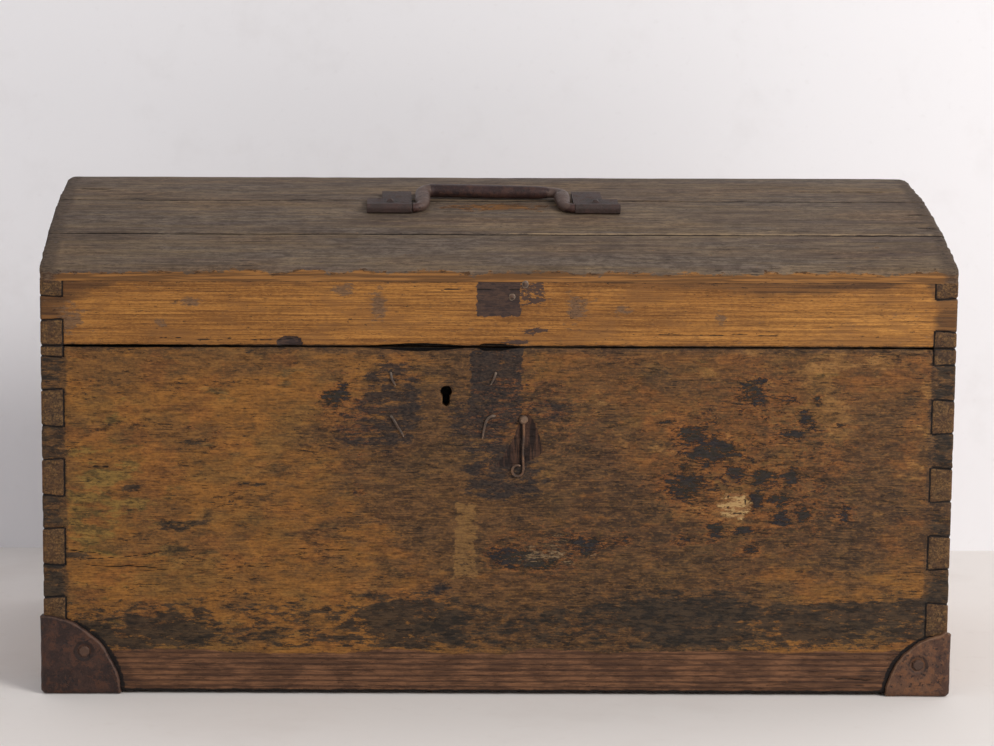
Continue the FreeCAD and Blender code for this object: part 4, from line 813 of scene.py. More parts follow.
# Marks are (left, right, low, high) in the chest's x and z, some with a lean
bodyShape = {"low": chest["woodLow"], "high": chest["bodyTop"], "inLid": False}
frontBoard = {
    **bodyShape, "length": 800.0, "step": 1.9, "dense": ((-52.5, -38.5, 0.6),),
    "rowStep": 1.95, "denseRows": ((257.0, 277.0, 0.6), (109.0, 133.0, 0.9), (8.0, 18.0, 0.9)),
    # level, slow hollows, fibres; then width, depth and seed of the rounding at joints, upper and lower arris
    "wear": (0.15, (0.12, 60.0, 35.0), (0.10, 26.0, 1.9)),
    "jointWear": (1.9, 1.0, 13), "topWear": (3.0, 1.3, 14), "footWear": (3.0, 1.5, 15),
    "flakes": ((205, 243, 256, 292), (248, 267, 259, 269), (262, 281, 240, 256), (274, 284, 258, 271),
               (247, 271, 230, 239), (290, 309, 240, 245), (158, 217, 206, 233), (137, 158, 242, 248),
               (150, 181, 228, 242), (138, 184, 172, 203), (200, 219, 192, 207), (221, 246, 187, 205),
               (250, 264, 188, 203), (220, 236, 168, 185), (237, 258, 169, 184), (238, 261, 152, 165),
               (263, 280, 155, 169), (296, 317, 151, 176), (183, 202, 139, 159), (208, 226, 144, 154),
               (150, 178, 134, 147), (215, 234, 123, 139), (-146, -128, 262, 280), (-160, -138, 258, 272),
               (-12, 34, 116, 134), (22, 58, 112, 130), (64, 100, 126, 145), (96, 124, 132, 146),
               (-352, -338, 270, 278), (-278, -262, 234, 246), (-254, -238, 228, 240), (-132, -112, 176, 188)),
    "flaked": ((110, 340, 110, 305), (150, 300, 140, 260), (-175, -95, 190, 312), (-60, 110, 200, 312),
               (-20, 100, 100, 160), (-20, 90, 105, 150)),
    "stains": ((-124, -70, 252, 304), (-140, -72, 214, 266), (-150, -100, 218, 256), (-116, -60, 220, 300),
               (-56, -6, 220, 276), (14, 72, 240, 268), (-24, 60, 172, 214), (-36, 30, 170, 222),
               (-30, 16, 200, 254), (-62, -38, 85, 108)),
    "ghosts": ((-25, 21, 244, 309.9),),
    "dirts": ((-316, -238, 143, 164), (-235, -195, 182, 194), (-292, -248, 217, 232), (-336, -305, 175, 193),
              (38, 69, 108, 135), (-14, 96, 112, 146), (-390, -330, 40, 62), (-300, -250, 48, 66),
              (-130, -20, 44, 92), (230, 320, 52, 80), (110, 230, 44, 100), (300, 392, 58, 92),
              (-395, -345, 118, 132), (300, 392, 10, 30), (-330, -296, 30, 70)),
    "greens": ((-394, -300, 110, 240),), "warms": ((60, 380, 170, 300),),
    "browns": ((30, 270, 20, 170), (-80, 130, 10, 120), (-170, 110, 130, 350), (-60, 150, 70, 230),
               (240, 400, 60, 260), (-90, 110, 110, 250), (60, 230, 30, 120)),
    "palerBrowns": ((-320, -40, 60, 250),), "smears": ((-38, -18, 106, 172),), "chips": ((-20, 110, 102, 152),),
    # bands in x or z where a mark comes in, and goes again
    "warmAcross": (-60, 140), "warmUp": (95, 140), "brownTop": (299, 311), "brownEnds": (374, 383),
    "dirtFoot": (36, 46, 66, 116), "dirtTop": (300, 310), "dirtEnds": (376, 386), "cleanFoot": (33.0, 46.0),
    "dent": ((383, 412, 184, 204),),
    "bare": ((191, 228, 154, 188),),
    "knot": (210.4, 172.5, 8.6),  # x, z, radius
    # cracks: left and right end, height at the left and the right, width, depth
    "cracks": ((-386, -338, 131.0, 124.0, 0.5, 1.1), (-372, -284, 120.0, 129.0, 0.4, 0.9),
               (-366, -290, 116.0, 114.0, 0.5, 1.0), (-330, -190, 110.0, 116.0, 0.35, 0.6),
               (296, 342, 16.0, 15.0, 0.7, 1.4), (314, 334, 10.0, 10.5, 0.6, 1.0),
               (-180, -120, 132.0, 131.0, 0.4, 0.7), (-398, -330, 206.0, 203.0, 0.4, 0.8)),
    # the hook's fan: its top, its foot's height and ends, half widths at the top, swelling of its sides, last tuck
    "fan": {"x": 23.0, "z": 251.0, "foot": 205.0, "left": -2.0, "right": 37.0, "topLeft": 3.0, "topRight": 4.0,
            "swellLeft": 2.5, "swellRight": 6.0, "tuck": 16.0},
    "key": (-45.3, 271.0), "keyRadius": 4.7, "slotHalf": 3.0, "footZ": 261.5, "holeDeep": 19.4,
    "plateReach": (71.5, 57.5),
}


# The saw cut: each hollow's x where it begins, is full, begins to end and ends, and its depth in mm
sawCut = {
    "hollow": (-122, -70, -48, -26), "hollowDeep": 3.2, "lump": 0.9, "notch": (-20, -12, 2, 16), "notchDeep": 3.0,
    "worn": (-400, -330, -310, -180), "wornDeep": 0.7, "everywhere": 0.55, "nibbles": 0.5, "limits": (0.1, 4.2),
    "fadeDown": 9.0, "fadeUp": 8.0, "lidShare": 0.8,
}


def sawWear(x):
    # how far the arrises beside the saw cut are broken away: three hollows and a little everywhere
    spec = sawCut
    hollow = hill(x, *spec["hollow"]) * (spec["hollowDeep"] + spec["lump"] * cloud(x / 22.0, 0 * x, 31))
    notch = hill(x, *spec["notch"]) * spec["notchDeep"]
    worn = hill(x, *spec["worn"]) * spec["wornDeep"]
    nibbles = spec["nibbles"] * cloud(x / 11.0, 0 * x + 3.0, 32, 2)
    return np.clip(hollow + notch + worn + spec["everywhere"] + nibbles, *spec["limits"])


def sawnTop(a, d, z):
    # the body's top arris is broken away, most at the outer face
    top = chest["bodyTop"]
    return -sawWear(a) * smoothRise(z, top - sawCut["fadeDown"], top) * fall(d, chest["board"])


def sawnFoot(a, d, z):
    # the lid's lower arris is broken away beside the saw cut
    low = chest["lidLow"]
    fading = 1 - smoothRise(z, low, low + sawCut["fadeUp"])
    return sawCut["lidShare"] * sawWear(a) * fading * fall(d, chest["board"])


def keyholeGap(x, z):
    # distance outside the keyhole's outline, negative inside it: a round above a slot with a round foot
    keyX, keyZ = frontBoard["key"]
    eye = np.hypot(x - keyX, z - keyZ) - frontBoard["keyRadius"]
    slot = np.hypot(x - keyX, z - np.clip(z, frontBoard["footZ"], keyZ)) - frontBoard["slotHalf"]
    return np.minimum(eye, slot)


def fanScar(x, z):
    # the hook's rubbed fan: full between two slanting sides below its apex, fading over 2 mm at its edges
    fan = frontBoard["fan"]
    run = np.clip((fan["z"] - z) / (fan["z"] - fan["foot"]), 0.0, 1.0)
    belly = 4.0 * run * (1 - run)
    topLeft, topRight = fan["x"] - fan["topLeft"], fan["x"] + fan["topRight"]
    left = topLeft + (fan["left"] - topLeft) * run ** 1.15 + fan["swellLeft"] * belly
    right = topRight + (fan["right"] - topRight) * run + fan["swellRight"] * belly
    right = right - fan["tuck"] * smoothRise(run, 0.72, 1.0)
    inside = np.minimum(np.minimum(x - left, right - x), np.minimum(fan["z"] - z, z - fan["foot"]))
    inside = inside + 1.2 * cloud(x / 5.0, z / 5.0, 19, 2)
    return np.clip((inside + 1.0) / 2.4, 0.0, 1.0)


def knotRing(x, z):
    # the crack round the pale knot: exp(-((distance - radius) / width)^2), broken and uneven
    knotX, knotZ, radius = frontBoard["knot"]
    away, turn = np.hypot(x - knotX, z - knotZ), np.arctan2(z - knotZ, x - knotX)
    radius = radius + 1.6 * cloud(np.cos(turn) * 1.5, np.sin(turn) * 1.5, 26, 2)
    return bell(away, radius, 0.75) * smoothRise(cloud(np.cos(turn) * 2, np.sin(turn) * 2, 27), -0.35, 0.05)


def frontDepth(a, d, x, z, gap):
    # worn depth of the front: slow hollows, fibres, rounded joints and rims, flakes, the knot's scar, the keyhole
    spec = frontBoard
    depth = hollows(x, z, spec["wear"], (11, 12)) + edgeWear(gap, *spec["jointWear"], x, z)
    depth += (edgeWear(chest["bodyTop"] - z, *spec["topWear"], x, z)
              + edgeWear(z - chest["woodLow"], *spec["footWear"], x, z))
    scar = blots(x, z, spec["bare"], 0.25, 8)
    depth += 0.9 * smoothRise(scar, 0.05, 0.4) + 0.35 * smoothRise(scar, 0.2, 0.8) * cloud(x / 5.0, z / 4.0, 16, 2)
    depth += 0.9 * knotRing(x, z)
    strokes = cloud((x - spec["fan"]["x"]) / np.maximum(spec["fan"]["z"] - z, 4.0) * 9.0, 0 * x, 20, 2)
    depth += fanScar(x, z) * (1.1 + 0.4 * strokes)
    depth += cracksAt(x, z, spec["cracks"], 24)[1]
    onTails = np.abs(a) > spec["length"] / 2 - chest["board"]
    depth += np.where(onTails, 0.45 * smoothRise(cloud(x / 5.0, z / 7.0, 17, 2), 0.0, 0.6), 0.0)
    depth += 1.5 * blots(x, z, spec["dent"])
    key = keyholeGap(x, z)
    depth += 0.9 * fall(key, 2.6) ** 2 * (key > 0) * (1.0 + 0.5 * cloud(x / 2.0, z / 2.0, 18))
    return np.maximum(np.where((key < 0) & (d < 1.0), spec["holeDeep"], depth), 0.02)


def frontMasks(a, d, x, z, gap):
    # shares 0 to 1 (brown to 1.3): the joint mark falls off from joints, rims and plates, dirt along the dovetails
    # and painted shade in the saw gap, along the foot, in the keyhole and round the plates; dirt also falls off from
    # the plates; the rest adds soft marks and bands
    spec = frontBoard
    key = keyholeGap(x, z)
    # dark joints: dirt along the dovetails, painted shade along the saw gap at the top and along the foot
    joint = np.maximum(fall(gap, 1.7, 1.15), fall(chest["bodyTop"] - z, 2.2) * 0.9)
    joint = np.maximum(joint, fall(z - chest["woodLow"], 3.0, 1.25))
    # the keyhole's hole is painted fully dark: painted shade
    joint = np.where((key < 0) & (d < 1.0), 1.0, joint)
    warm = np.clip(0.12 + smoothRise(x, *spec["warmAcross"]) * smoothRise(z, *spec["warmUp"]) * 0.75
                   + blots(x, z, spec["warms"]) * 0.45, 0, 1)
    brown = np.clip(soft(x, z, spec["browns"]) * 0.95 + 0.34 * soft(x, z, spec["palerBrowns"])
                    + smoothRise(z, *spec["brownTop"]) * 0.7
                    + 1.3 * smoothRise(np.abs(x), *spec["brownEnds"]), 0, 1.3)
    dirt = np.clip(soft(x, z, spec["dirts"]) * 0.75 + 0.58 * hill(z, *spec["dirtFoot"])
                   + 0.66 * smoothRise(np.abs(x), *spec["dirtEnds"]) + 0.3 * smoothRise(z, *spec["dirtTop"]), 0, 1)
    half, (reachLeft, reachRight) = spec["length"] / 2, spec["plateReach"]
    plate = np.minimum(np.hypot(x + half, z) - reachLeft, np.hypot(x - half, z) - reachRight)
    # a dark line round each plate: painted shade under its edge
    joint = np.maximum(joint, fall(plate, 1.8) * 0.8)
    dirt = np.maximum(dirt, fall(plate, 30.0, 0.9) * 0.75)
    flake = np.clip(soft(x, z, spec["flakes"]) * 0.66 + 0.52 * soft(x, z, spec["flaked"]), 0, 1)
    stain = np.maximum(0.7 * soft(x, z, spec["stains"]), 0.9 * patch(x, z, spec["ghosts"], 22, 2.5))
    return {
        "joint": joint, "warm": warm, "brown": brown, "dirt": dirt, "flake": flake, "stain": stain,
        "green": soft(x, z, spec["greens"]) * 0.8, "smear": patch(x, z, spec["smears"], 23, 4.0) * 0.8,
        "bare": blots(x, z, spec["bare"], 0.25, 8), "chips": soft(x, z, spec["chips"]) * 1.05,
        "hollow": fanScar(x, z), "crack": np.maximum(cracksAt(x, z, spec["cracks"], 24)[0], knotRing(x, z)),
        "clean": 1.0 - smoothRise(z + 5.0 * cloud(x / 45.0, 0 * z, 21, 2), *spec["cleanFoot"]),
    }


plainBoard = {"wear": (0.12, (0.12, 60.0, 35.0), (0.10, 26.0, 2.1)), "jointWear": (1.8, 0.9, 43)}


def plainDepth(a, d, x, z, gap):
    # worn depth of a plain outer face: slow hollows, fibres, rounded joints
    across = np.where(np.abs(np.abs(x) - chest["sideX"]) < 5.0, a, x)
    worn = hollows(across, z, plainBoard["wear"], (41, 42)) + edgeWear(gap, *plainBoard["jointWear"], across, z)
    return np.maximum(worn, 0.02)


def plainMasks(a, d, x, z, gap):
    # dark that falls off from the joints, dirt, and from the saw cut, painted shade in its gap
    rim = np.minimum(np.abs(z - chest["bodyTop"]), np.abs(z - chest["lidLow"]))
    # the rim term paints shade along the saw gap
    return {"joint": np.maximum(fall(gap, 1.5, 1.15), fall(rim, 3.0) * 0.8)}


def walls(body, rows):
    # makes and dresses boards: piece, node, shape, how it lies, wear, marks, finish; the sides carry the pins
    for name, node, spec, place, depthAt, masksAt, finish in rows:
        piece = combBoard(dict(spec, name=name), place, depthAt, masksAt, place in (atLeft, atRight))
        dress(piece, body, [node], finish)
        print("chest:", name, len(piece.data.polygons))


frontBoard["lip"] = sawnTop
backBoard = {**bodyShape, "length": 800.0, "rowStep": 3.2, "step": 3.6}
sideBoard = {**bodyShape, "length": 2 * halfDepth, "rowStep": 1.9, "step": 2.4}
frontFinish = bodyFinish("frontWood", "X", True)
sideFinish = bodyFinish("sideWood", "Y", False)
backFinish = bodyFinish("backWood", "X", False)
walls("chest", (
    ("frontBoardWood", "front_board", frontBoard, atFront, frontDepth, frontMasks, frontFinish),
    ("backBoardWood", "back_board", backBoard, atBack, plainDepth, plainMasks, backFinish),
    ("sideBoardWoodLeft", "side_board_left", sideBoard, atLeft, plainDepth, plainMasks, sideFinish),
    ("sideBoardWoodRight", "side_board_right", sideBoard, atRight, plainDepth, plainMasks, sideFinish)))

# The arch: a crown of small radius over the ridge, and a flatter haunch tangent to it on each side
arch = {"rise": 87.5, "eave": 12.0, "crownRadius": 75.0, "crownTurn": math.radians(12.0), "thick": 13.0,
        "joints": (0.0, 52.0, 122.0, halfDepth), "gap": 0.5, "nosing": 9.0}
crownRadius, crownTurn = arch["crownRadius"], arch["crownTurn"]
crownZ = chest["railTop"] + arch["rise"] - crownRadius
crownOver = crownZ - chest["railTop"] - arch["eave"]
crownReach = halfDepth * math.sin(crownTurn) - crownOver * math.cos(crownTurn)
haunchRadius = (halfDepth ** 2 + crownOver ** 2 - 2 * crownRadius * crownReach + crownRadius ** 2)
haunchRadius = haunchRadius / (2 * crownRadius - 2 * crownReach)
haunchDepth = halfDepth + (haunchRadius - crownRadius) * math.sin(crownTurn)
haunchZ = crownZ - (haunchRadius - crownRadius) * math.cos(crownTurn)
haunchEnd = halfDepth - crownRadius * math.sin(crownTurn)


def archPoint(depth, under=0.0):
    # depth behind the front face, height, and slope of the lid's outer face, or a point that far under it
    slope = np.where(depth > haunchEnd,
                     np.arcsin(np.clip((halfDepth - depth) / crownRadius, -1, 1)),
                     np.arcsin(np.clip((haunchDepth - depth) / haunchRadius, -1, 1)))
    height = np.where(depth > haunchEnd, crownZ + crownRadius * np.cos(slope),
                      haunchZ + haunchRadius * np.cos(slope))
    return depth + under * np.sin(slope), height - under * np.cos(slope), slope


def underPoint(place):
    # the same place on the underside of the top boards
    depth, height, slope = archPoint(np.array(place), arch["thick"])
    return np.array([float(depth), float(height)])


# The underside is straight from joint to joint
underLine = np.array([[0.0, chest["railTop"]]] + [underPoint(place) for place in arch["joints"][1:]])


def gableTop(y):
    # height of a lid end's upper edge at y
    depth = np.minimum(y - chest["frontY"], chest["backY"] - y)
    return np.interp(depth, underLine[:, 0], underLine[:, 1])


def sloped(y, z):
    # the rails' upper edges slope up to lie under the top boards
    return np.where(z > chest["railTop"] - 0.01, gableTop(y), z)


endRise = 60.0  # how much higher the lid's end is drawn before its top is laid on the arch


def raised(y, z):
    # the end's wall is drawn up from the rail's height to the arch
    share = np.clip((z - chest["railTop"]) / endRise, 0.0, 1.0)
    return np.where(z > chest["railTop"], chest["railTop"] + share * (gableTop(y) - chest["railTop"]), z)


lidShape = {"low": chest["lidLow"], "high": chest["railTop"], "inLid": True}
frontRail = {
    **lidShape, "length": 800.0, "rowStep": 1.15, "step": 1.25, "top": sloped, "lip": sawnFoot,
    "wear": (0.10, (0.10, 60.0, 20.0), (0.10, 40.0, 1.6)), "jointWear": (1.9, 1.0, 53), "footWear": (2.5, 1.1, 54),
    "ghosts": ((-19.4, 18.6, 337, 372.5),),
    "paleGhosts": ((18.6, 40, 345, 372.5), (22, 44, 321, 328), (8, 30, 311, 316)),
    "stains": ((8, 46, 340, 360), (-6, 40, 309, 319), (14, 44, 320, 331)),
    "greys": ((-114, -97, 328, 364), (-282, -256, 342, 354), (-300, -287, 326, 336), (56, 80, 330, 360),
              (-386, -360, 318, 350), (-150, -120, 352, 366), (96, 118, 338, 350), (186, 200, 330, 342)),
    "browns": ((120, 400, 345, 380), (-400, -330, 340, 380)), "brownEnds": (368, 390), "brownTop": (352, 369),
    "notch": ((-194, -170, 308, 320),), "linkMark": ((63, 72, 333, 356, 0.45),),
    "cracks": ((-398, -352, 369.0, 368.0, 0.6, 0.8), (-60, 30, 360.0, 361.0, 0.5, 0.5),
               (-300, -160, 317.0, 316.0, 0.4, 0.4), (120, 260, 322.0, 321.0, 0.4, 0.4)),
}


def linkRing(x, z):
    # the print of a link: exp(-((share - 0.35) / 0.16)^2), share being 1 in its middle and 0 at its rim
    return bell(blots(x, z, frontRail["linkMark"]), 0.35, 0.16)


def railDepth(a, d, x, z, gap):
    # worn depth of the rail: slow hollows, fibres, rounded joints and foot, a notch, a link's print, cracks
    spec = frontRail
    depth = hollows(x, z, spec["wear"], (51, 52))
    depth += edgeWear(gap, *spec["jointWear"], x, z) + edgeWear(z - chest["lidLow"], *spec["footWear"], x, z)
    depth += 1.6 * smoothRise(blots(x, z, spec["notch"], 0.4, 56), 0.05, 0.5)
    depth += 0.5 * linkRing(x, z)
    depth += cracksAt(x, z, spec["cracks"], 58)[1]
    return np.maximum(depth, 0.02)


def railMasks(a, d, x, z, gap):
    # shares 0 to 1: the joint mark falls off from joints, foot and top, dirt along the dovetails and the seam under
    # the top boards and painted shade in the saw gap at the foot; stains and greys are soft marks
    spec = frontRail
    # dark joints: dirt along the dovetails and the top's seam, painted shade along the saw gap at the foot
    joint = np.maximum(fall(gap, 1.5, 1.15), fall(z - chest["lidLow"], 3.0))
    joint = np.maximum(joint, fall(chest["railTop"] - z, 2.0) * 0.7)
    brown = np.clip(smoothRise(np.abs(x), *spec["brownEnds"]) + 0.5 * smoothRise(z, *spec["brownTop"])
                    + blots(x, z, spec["browns"]) * 0.5, 0, 1)
    stain = np.maximum(soft(x, z, spec["stains"]) * 0.62, patch(x, z, spec["ghosts"], 59, 1.5) * 0.9)
    stain = np.maximum(stain, 0.5 * patch(x, z, spec["paleGhosts"], 60, 2.5))
    stain = np.maximum(stain, 1.3 * smoothRise(blots(x, z, spec["notch"], 0.4, 56), 0.0, 0.3))
    crack = np.maximum(cracksAt(x, z, spec["cracks"], 58)[0], 0.7 * linkRing(x, z))
    return {"joint": joint, "brown": brown, "stain": stain, "crack": crack, "grey": soft(x, z, spec["greys"])}


backRail = {**lidShape, "length": 800.0, "rowStep": 2.6, "step": 3.6, "top": sloped}
lidEnd = {**lidShape, "high": chest["railTop"] + endRise, "length": 2 * halfDepth, "rowStep": 1.9, "step": 2.4,
          "top": raised}
walls("lid", (
    ("lidFrontRailWood", "lid_front_rail", frontRail, atFront, railDepth, railMasks, railFinish("railWood")),
    ("lidBackRailWood", "lid_back_rail", backRail, atBack, plainDepth, plainMasks, backFinish),
    ("lidEndWoodLeft", "lid_end_left", lidEnd, atLeft, plainDepth, plainMasks, sideFinish),
    ("lidEndWoodRight", "lid_end_right", lidEnd, atRight, plainDepth, plainMasks, sideFinish)))

topBoards = {
    "step": 1.7, "backStep": 3.2, "wear": (0.25, (0.22, 70.0, 24.0), (0.28, 34.0, 2.2)),
    "jointWear": (2.2, 0.9), "endWear": (5.0, 1.6), "splitDeep": 1.6, "bow": (0.8, 388, 400), "seed": 60,
    "eaveRub": (4.0, 13.0), "handleRub": 0.74, "edgeRub": (1.9, 0.9, -60, 80), "dirtyEnds": (2.0, 26.0),
    # splits: left and right end, depth behind the front, width
    "splits": ((-386, -352, 153.0, 1.2), (-380, -360, 172.0, 0.8), (286, 372, 150.0, 1.0), (372, 398, 92.0, 1.0),
               (376, 400, 66.0, 0.9), (-398, -386, 52.0, 1.0)),
    "bared": ((-66, 70, 98, 124),),  # on the second front board, under the handle
}


def boardSection(number, step):
    # outline of a board: the arch, the joint down, the straight underside, the joint up; with it the way
    # that its worn outer face looks, 0 elsewhere
    start = arch["joints"][number] + (arch["gap"] / 2 if number else 0.0)
    end = arch["joints"][number + 1] - arch["gap"] / 2
    depth, height, slope = archPoint(spread(start, end, step * 0.85))
    outer = np.stack([depth, height], 1)
    looks = np.stack([-np.sin(slope), np.cos(slope)], 1)
    underStart = underPoint(start) if number else underLine[0]
    last = np.linspace(outer[-1], underPoint(end), 9)[1:-1]
    below = np.linspace(underPoint(end), underStart, 5)
    if number:
        walk = [outer, last, below, np.linspace(underStart, outer[0], 9)[1:-1]]
    else:
        # the eave's nosing: a quarter round that meets the arch and the front
        reach, turnHere = arch["nosing"], float(slope[0])
        away = reach * math.tan((math.pi / 2 - turnHere) / 2)
        kept = depth > away * math.cos(turnHere)
        sweep = np.linspace(math.pi, math.pi / 2 + turnHere, 8)
        noseOut = np.stack([np.cos(sweep), np.sin(sweep)], 1)
        nose = np.array([reach, height[0] - away]) + reach * noseOut
        rise = np.linspace(underStart, nose[0], 4)[:-1]
        walk = [rise, nose, outer[kept], last, below[:-1]]
        looks = np.concatenate([[[0.0, 0.0]], np.tile([-1.0, 0.0], (len(rise) - 1, 1)), noseOut, looks[kept]])
    section = np.concatenate(walk)
    return start, section, np.concatenate([looks, np.zeros((len(section) - len(looks), 2))])


def topBoard(name, number, toBack):
    # one coopered board: its section carried along the lid, worn inwards
    spec = topBoards
    step = spec["backStep"] if toBack else spec["step"]
    start, section, looks = boardSection(number, step)
    isOuter = (np.abs(looks).sum(1) > 0.5)[None, :]
    x = spread(-chest["sideX"], chest["sideX"], step)
    along = np.tile(x[:, None], (1, len(section)))
    runs = runAlong(section)
    across = np.tile(runs + start, (len(x), 1))
    seed = spec["seed"] + number + (10 if toBack else 0)
    wear = hollows(along, across, spec["wear"], (seed, seed + 20))
    lastOuter = int(np.flatnonzero(isOuter)[-1])
    edge = np.minimum(across - start, runs[lastOuter] - (across - start))
    ends = chest["sideX"] - np.abs(along)
    wear += edgeWear(edge, *spec["jointWear"], seed + 30, along, across)
    wear += edgeWear(ends, *spec["endWear"], seed + 40, along, across)
    crack = np.zeros_like(wear)
    for left, right, place, wide in spec["splits"] if not toBack else ():
        bend = place + 1.2 * cloud(along / 12.0, 0 * along, seed + 50)
        inside = hill(along, left, left + 6, right - 8, right)
        crack = np.maximum(crack, inside * bell(section[:, 0][None, :], bend, wide))
    wear += spec["splitDeep"] * crack
    wear = np.where(isOuter, np.maximum(wear, 0.02), 0.0)
    bowed, bowFrom, bowTo = spec["bow"]
    bow = bowed * smoothRise(np.abs(along), bowFrom, bowTo) * (0.5 + cloud(across / 9.0, 0 * across, seed + 60, 2))
    depths = section[:, 0][None, :] - looks[:, 0][None, :] * wear
    heights = section[:, 1][None, :] - looks[:, 1][None, :] * wear
    y = chest["backY"] - depths if toBack else chest["frontY"] + depths
    grid = closed(np.stack([along - np.sign(along) * np.clip(bow, 0, 2), y, heights], -1))
    front = across - start + 3.5 * cloud(along / 24.0, 0 * along, seed + 70, 4)
    warm = (1.0 - smoothRise(front, *spec["eaveRub"])) if not number else 0.0 * wear
    if number == 1 and not toBack:
        warm = spec["handleRub"] * soft(along, across, spec["bared"])
    rubAt, rubWide, rubFrom, rubTo = spec["edgeRub"]
    worn = bell(across - start, rubAt, rubWide) * smoothRise(along, rubFrom, rubTo) * (number == 1)
    masks = {"joint": np.where(isOuter, fall(edge, 1.2, 1.2), 0.0), "warm": warm, "crack": crack * isOuter,
             "worn": worn * isOuter, "ends": 1.0 - smoothRise(ends, *spec["dirtyEnds"]), "endFace": 0.0 * wear}
    masks = {key: closed(value) for key, value in masks.items()}
    # a smaller ring on each end, so that the end grain carries its own mark
    for row in (0, -1):
        toMiddle = grid[row].mean(axis=0) - grid[row]
        toMiddle[:, 0] = 0.0
        ring = grid[row] + toMiddle * np.minimum(1.0 / np.linalg.norm(toMiddle, axis=1), 0.3)[:, None]
        grid = joined(grid, row, ring)
        masks = {key: joined(value, row, np.full(value.shape[1], 1.0 if key == "endFace" else 0.0))
                 for key, value in masks.items()}
    if not toBack:
        grid, masks = grid[::-1], {key: value[::-1] for key, value in masks.items()}
    return surface(name, [(grid, masks)], capped=True, sharp=45.0)


topFinish = lidFinish("lidWood")
for side, toBack in (("front", False), ("back", True)):
    for number in range(3):
        piece = topBoard("lidBoardWood_%s_%d" % (side, number + 1), number, toBack)
        dress(piece, "lid", ["lid_board_%s_%d" % (side, number + 1)], topFinish)
        print("chest:", piece.name, len(piece.data.polygons))


def bar(path, across, wide, thick, sides=12, square=2.0, dents=0.0, seed=80):
    # an outline of half sizes wide and thick, (|cos|^p + |sin|^p)^(-1/p) times a circle, carried along a path
    heading = np.gradient(path, axis=0)
    heading = heading / np.linalg.norm(heading, axis=1, keepdims=True)
    level = np.cross(heading, across)
    level = level / np.linalg.norm(level, axis=1, keepdims=True)
    upright = np.cross(level, heading)
    turn = np.concatenate([np.arange(sides), [0]]) * (2 * math.pi / sides)
    shape = (np.abs(np.cos(turn)) ** square + np.abs(np.sin(turn)) ** square) ** (-1.0 / square)
    run = runAlong(path)[:, None]
    bump = 1.0 + dents * cloud(run / 7.0 + 1.3 * np.cos(turn), 1.3 * np.sin(turn) + 0 * run, seed, 2)
    first = (wide[:, None] * np.cos(turn) * shape * bump)[..., None] * level[:, None, :]
    second = (thick[:, None] * np.sin(turn) * shape * bump)[..., None] * upright[:, None, :]
    grid = path[:, None, :] + first + second
    ends = [np.tile(place, (1, sides + 1, 1)) for place in (path[0], path[-1])]
    return np.concatenate([ends[0], grid, ends[1]]), {}


def smoothPath(points, step):
    # a rounded walk through a few points, evenly spaced: each corner cut twice by quarters
    points = np.array(points, float)
    for again in range(2):
        near = points[:-1] * 0.75 + points[1:] * 0.25
        far = points[:-1] * 0.25 + points[1:] * 0.75
        points = np.concatenate([points[:1], np.stack([near, far], 1).reshape(-1, 3), points[-1:]])
    run = runAlong(points)
    even = np.linspace(0.0, run[-1], max(4, int(run[-1] / step)))
    return np.stack([np.interp(even, run, points[:, part]) for part in range(3)], 1)


# The bail: pins, two bent arms that swell towards the grip, and a grip that lies a little askew
bail = {
    "pivotY": -116.264, "pivotZ": 428.681, "lie": math.atan2(14.119, 34.204), "reach": 37.0, "bend": 9.0,
    "neckX": 73.5, "pinX": 111.6, "skew": 0.0011, "sides": 28, "square": 2.1, "dents": 0.07,
    # distance along the bar from the left pin's end, half size in the bail's plane, half size across it
    "sizes": ((0.0, 2.0, 2.0), (0.6, 2.35, 2.35), (37.9, 2.35, 2.35), (38.1, 4.1, 4.1), (45.0, 4.7, 4.4),
              (54.0, 6.5, 5.2), (62.0, 7.3, 5.5), (72.0, 7.1, 5.6), (80.0, 6.6, 5.9), (86.5, 7.0, 6.2),
              (88.6, 7.0, 6.2), (89.8, 6.0, 6.0), (118.0, 6.3, 6.2), (160.0, 6.1, 6.1), (186.0, 6.0, 6.0),
              (191.0, 5.5, 5.5), (197.0, 4.7, 4.6), (202.0, 4.8, 4.7), (208.0, 6.3, 5.6), (216.0, 7.5, 5.8),
              (224.0, 6.9, 5.5), (232.0, 5.1, 4.8), (238.0, 4.4, 4.3), (243.7, 4.1, 4.1), (243.9, 2.35, 2.35),
              (281.2, 2.35, 2.35), (281.8, 2.0, 2.0)),
    # distance along the bar, and how rough it is there: the arms are rougher than the grip
    "rough": ((0, 0), (38, 0), (46, 1), (84, 1), (90, 0.15), (190, 0.15), (198, 1), (236, 1), (244, 0), (282, 0)),
}


def bailPath():
    # half the bail in its own plane, mirrored: pin, quarter turn out, arm, quarter turn in, grip
    spec = bail
    bend, reach, neck = spec["bend"], spec["reach"], spec["neckX"]
    armX = neck - 0.5 - bend
    turn = np.linspace(0.0, math.pi / 2, 12)
    outer = np.stack([-armX - bend + bend * np.sin(turn), bend - bend * np.cos(turn)], 1)
    inner = np.stack([-armX + bend - bend * np.cos(turn), reach - bend + bend * np.sin(turn)], 1)
    arm = np.stack([np.full(15, -armX), np.linspace(bend, reach - bend, 15)], 1)[1:-1]
    pin = np.stack([np.linspace(-spec["pinX"], -neck + 0.3, 40), np.zeros(40)], 1)
    grip = np.stack([np.linspace(-armX + bend, 0.0, 40), np.full(40, reach)], 1)[1:]
    half = np.concatenate([pin, outer, arm, inner, grip])
    whole = np.concatenate([half, (half[:-1] * [-1.0, 1.0])[::-1]])
    out = whole[:, 1] * (1.0 - spec["skew"] * whole[:, 0])
    lie = spec["lie"]
    return np.stack([whole[:, 0], spec["pivotY"] + out * math.cos(lie), spec["pivotZ"] + out * math.sin(lie)], 1)


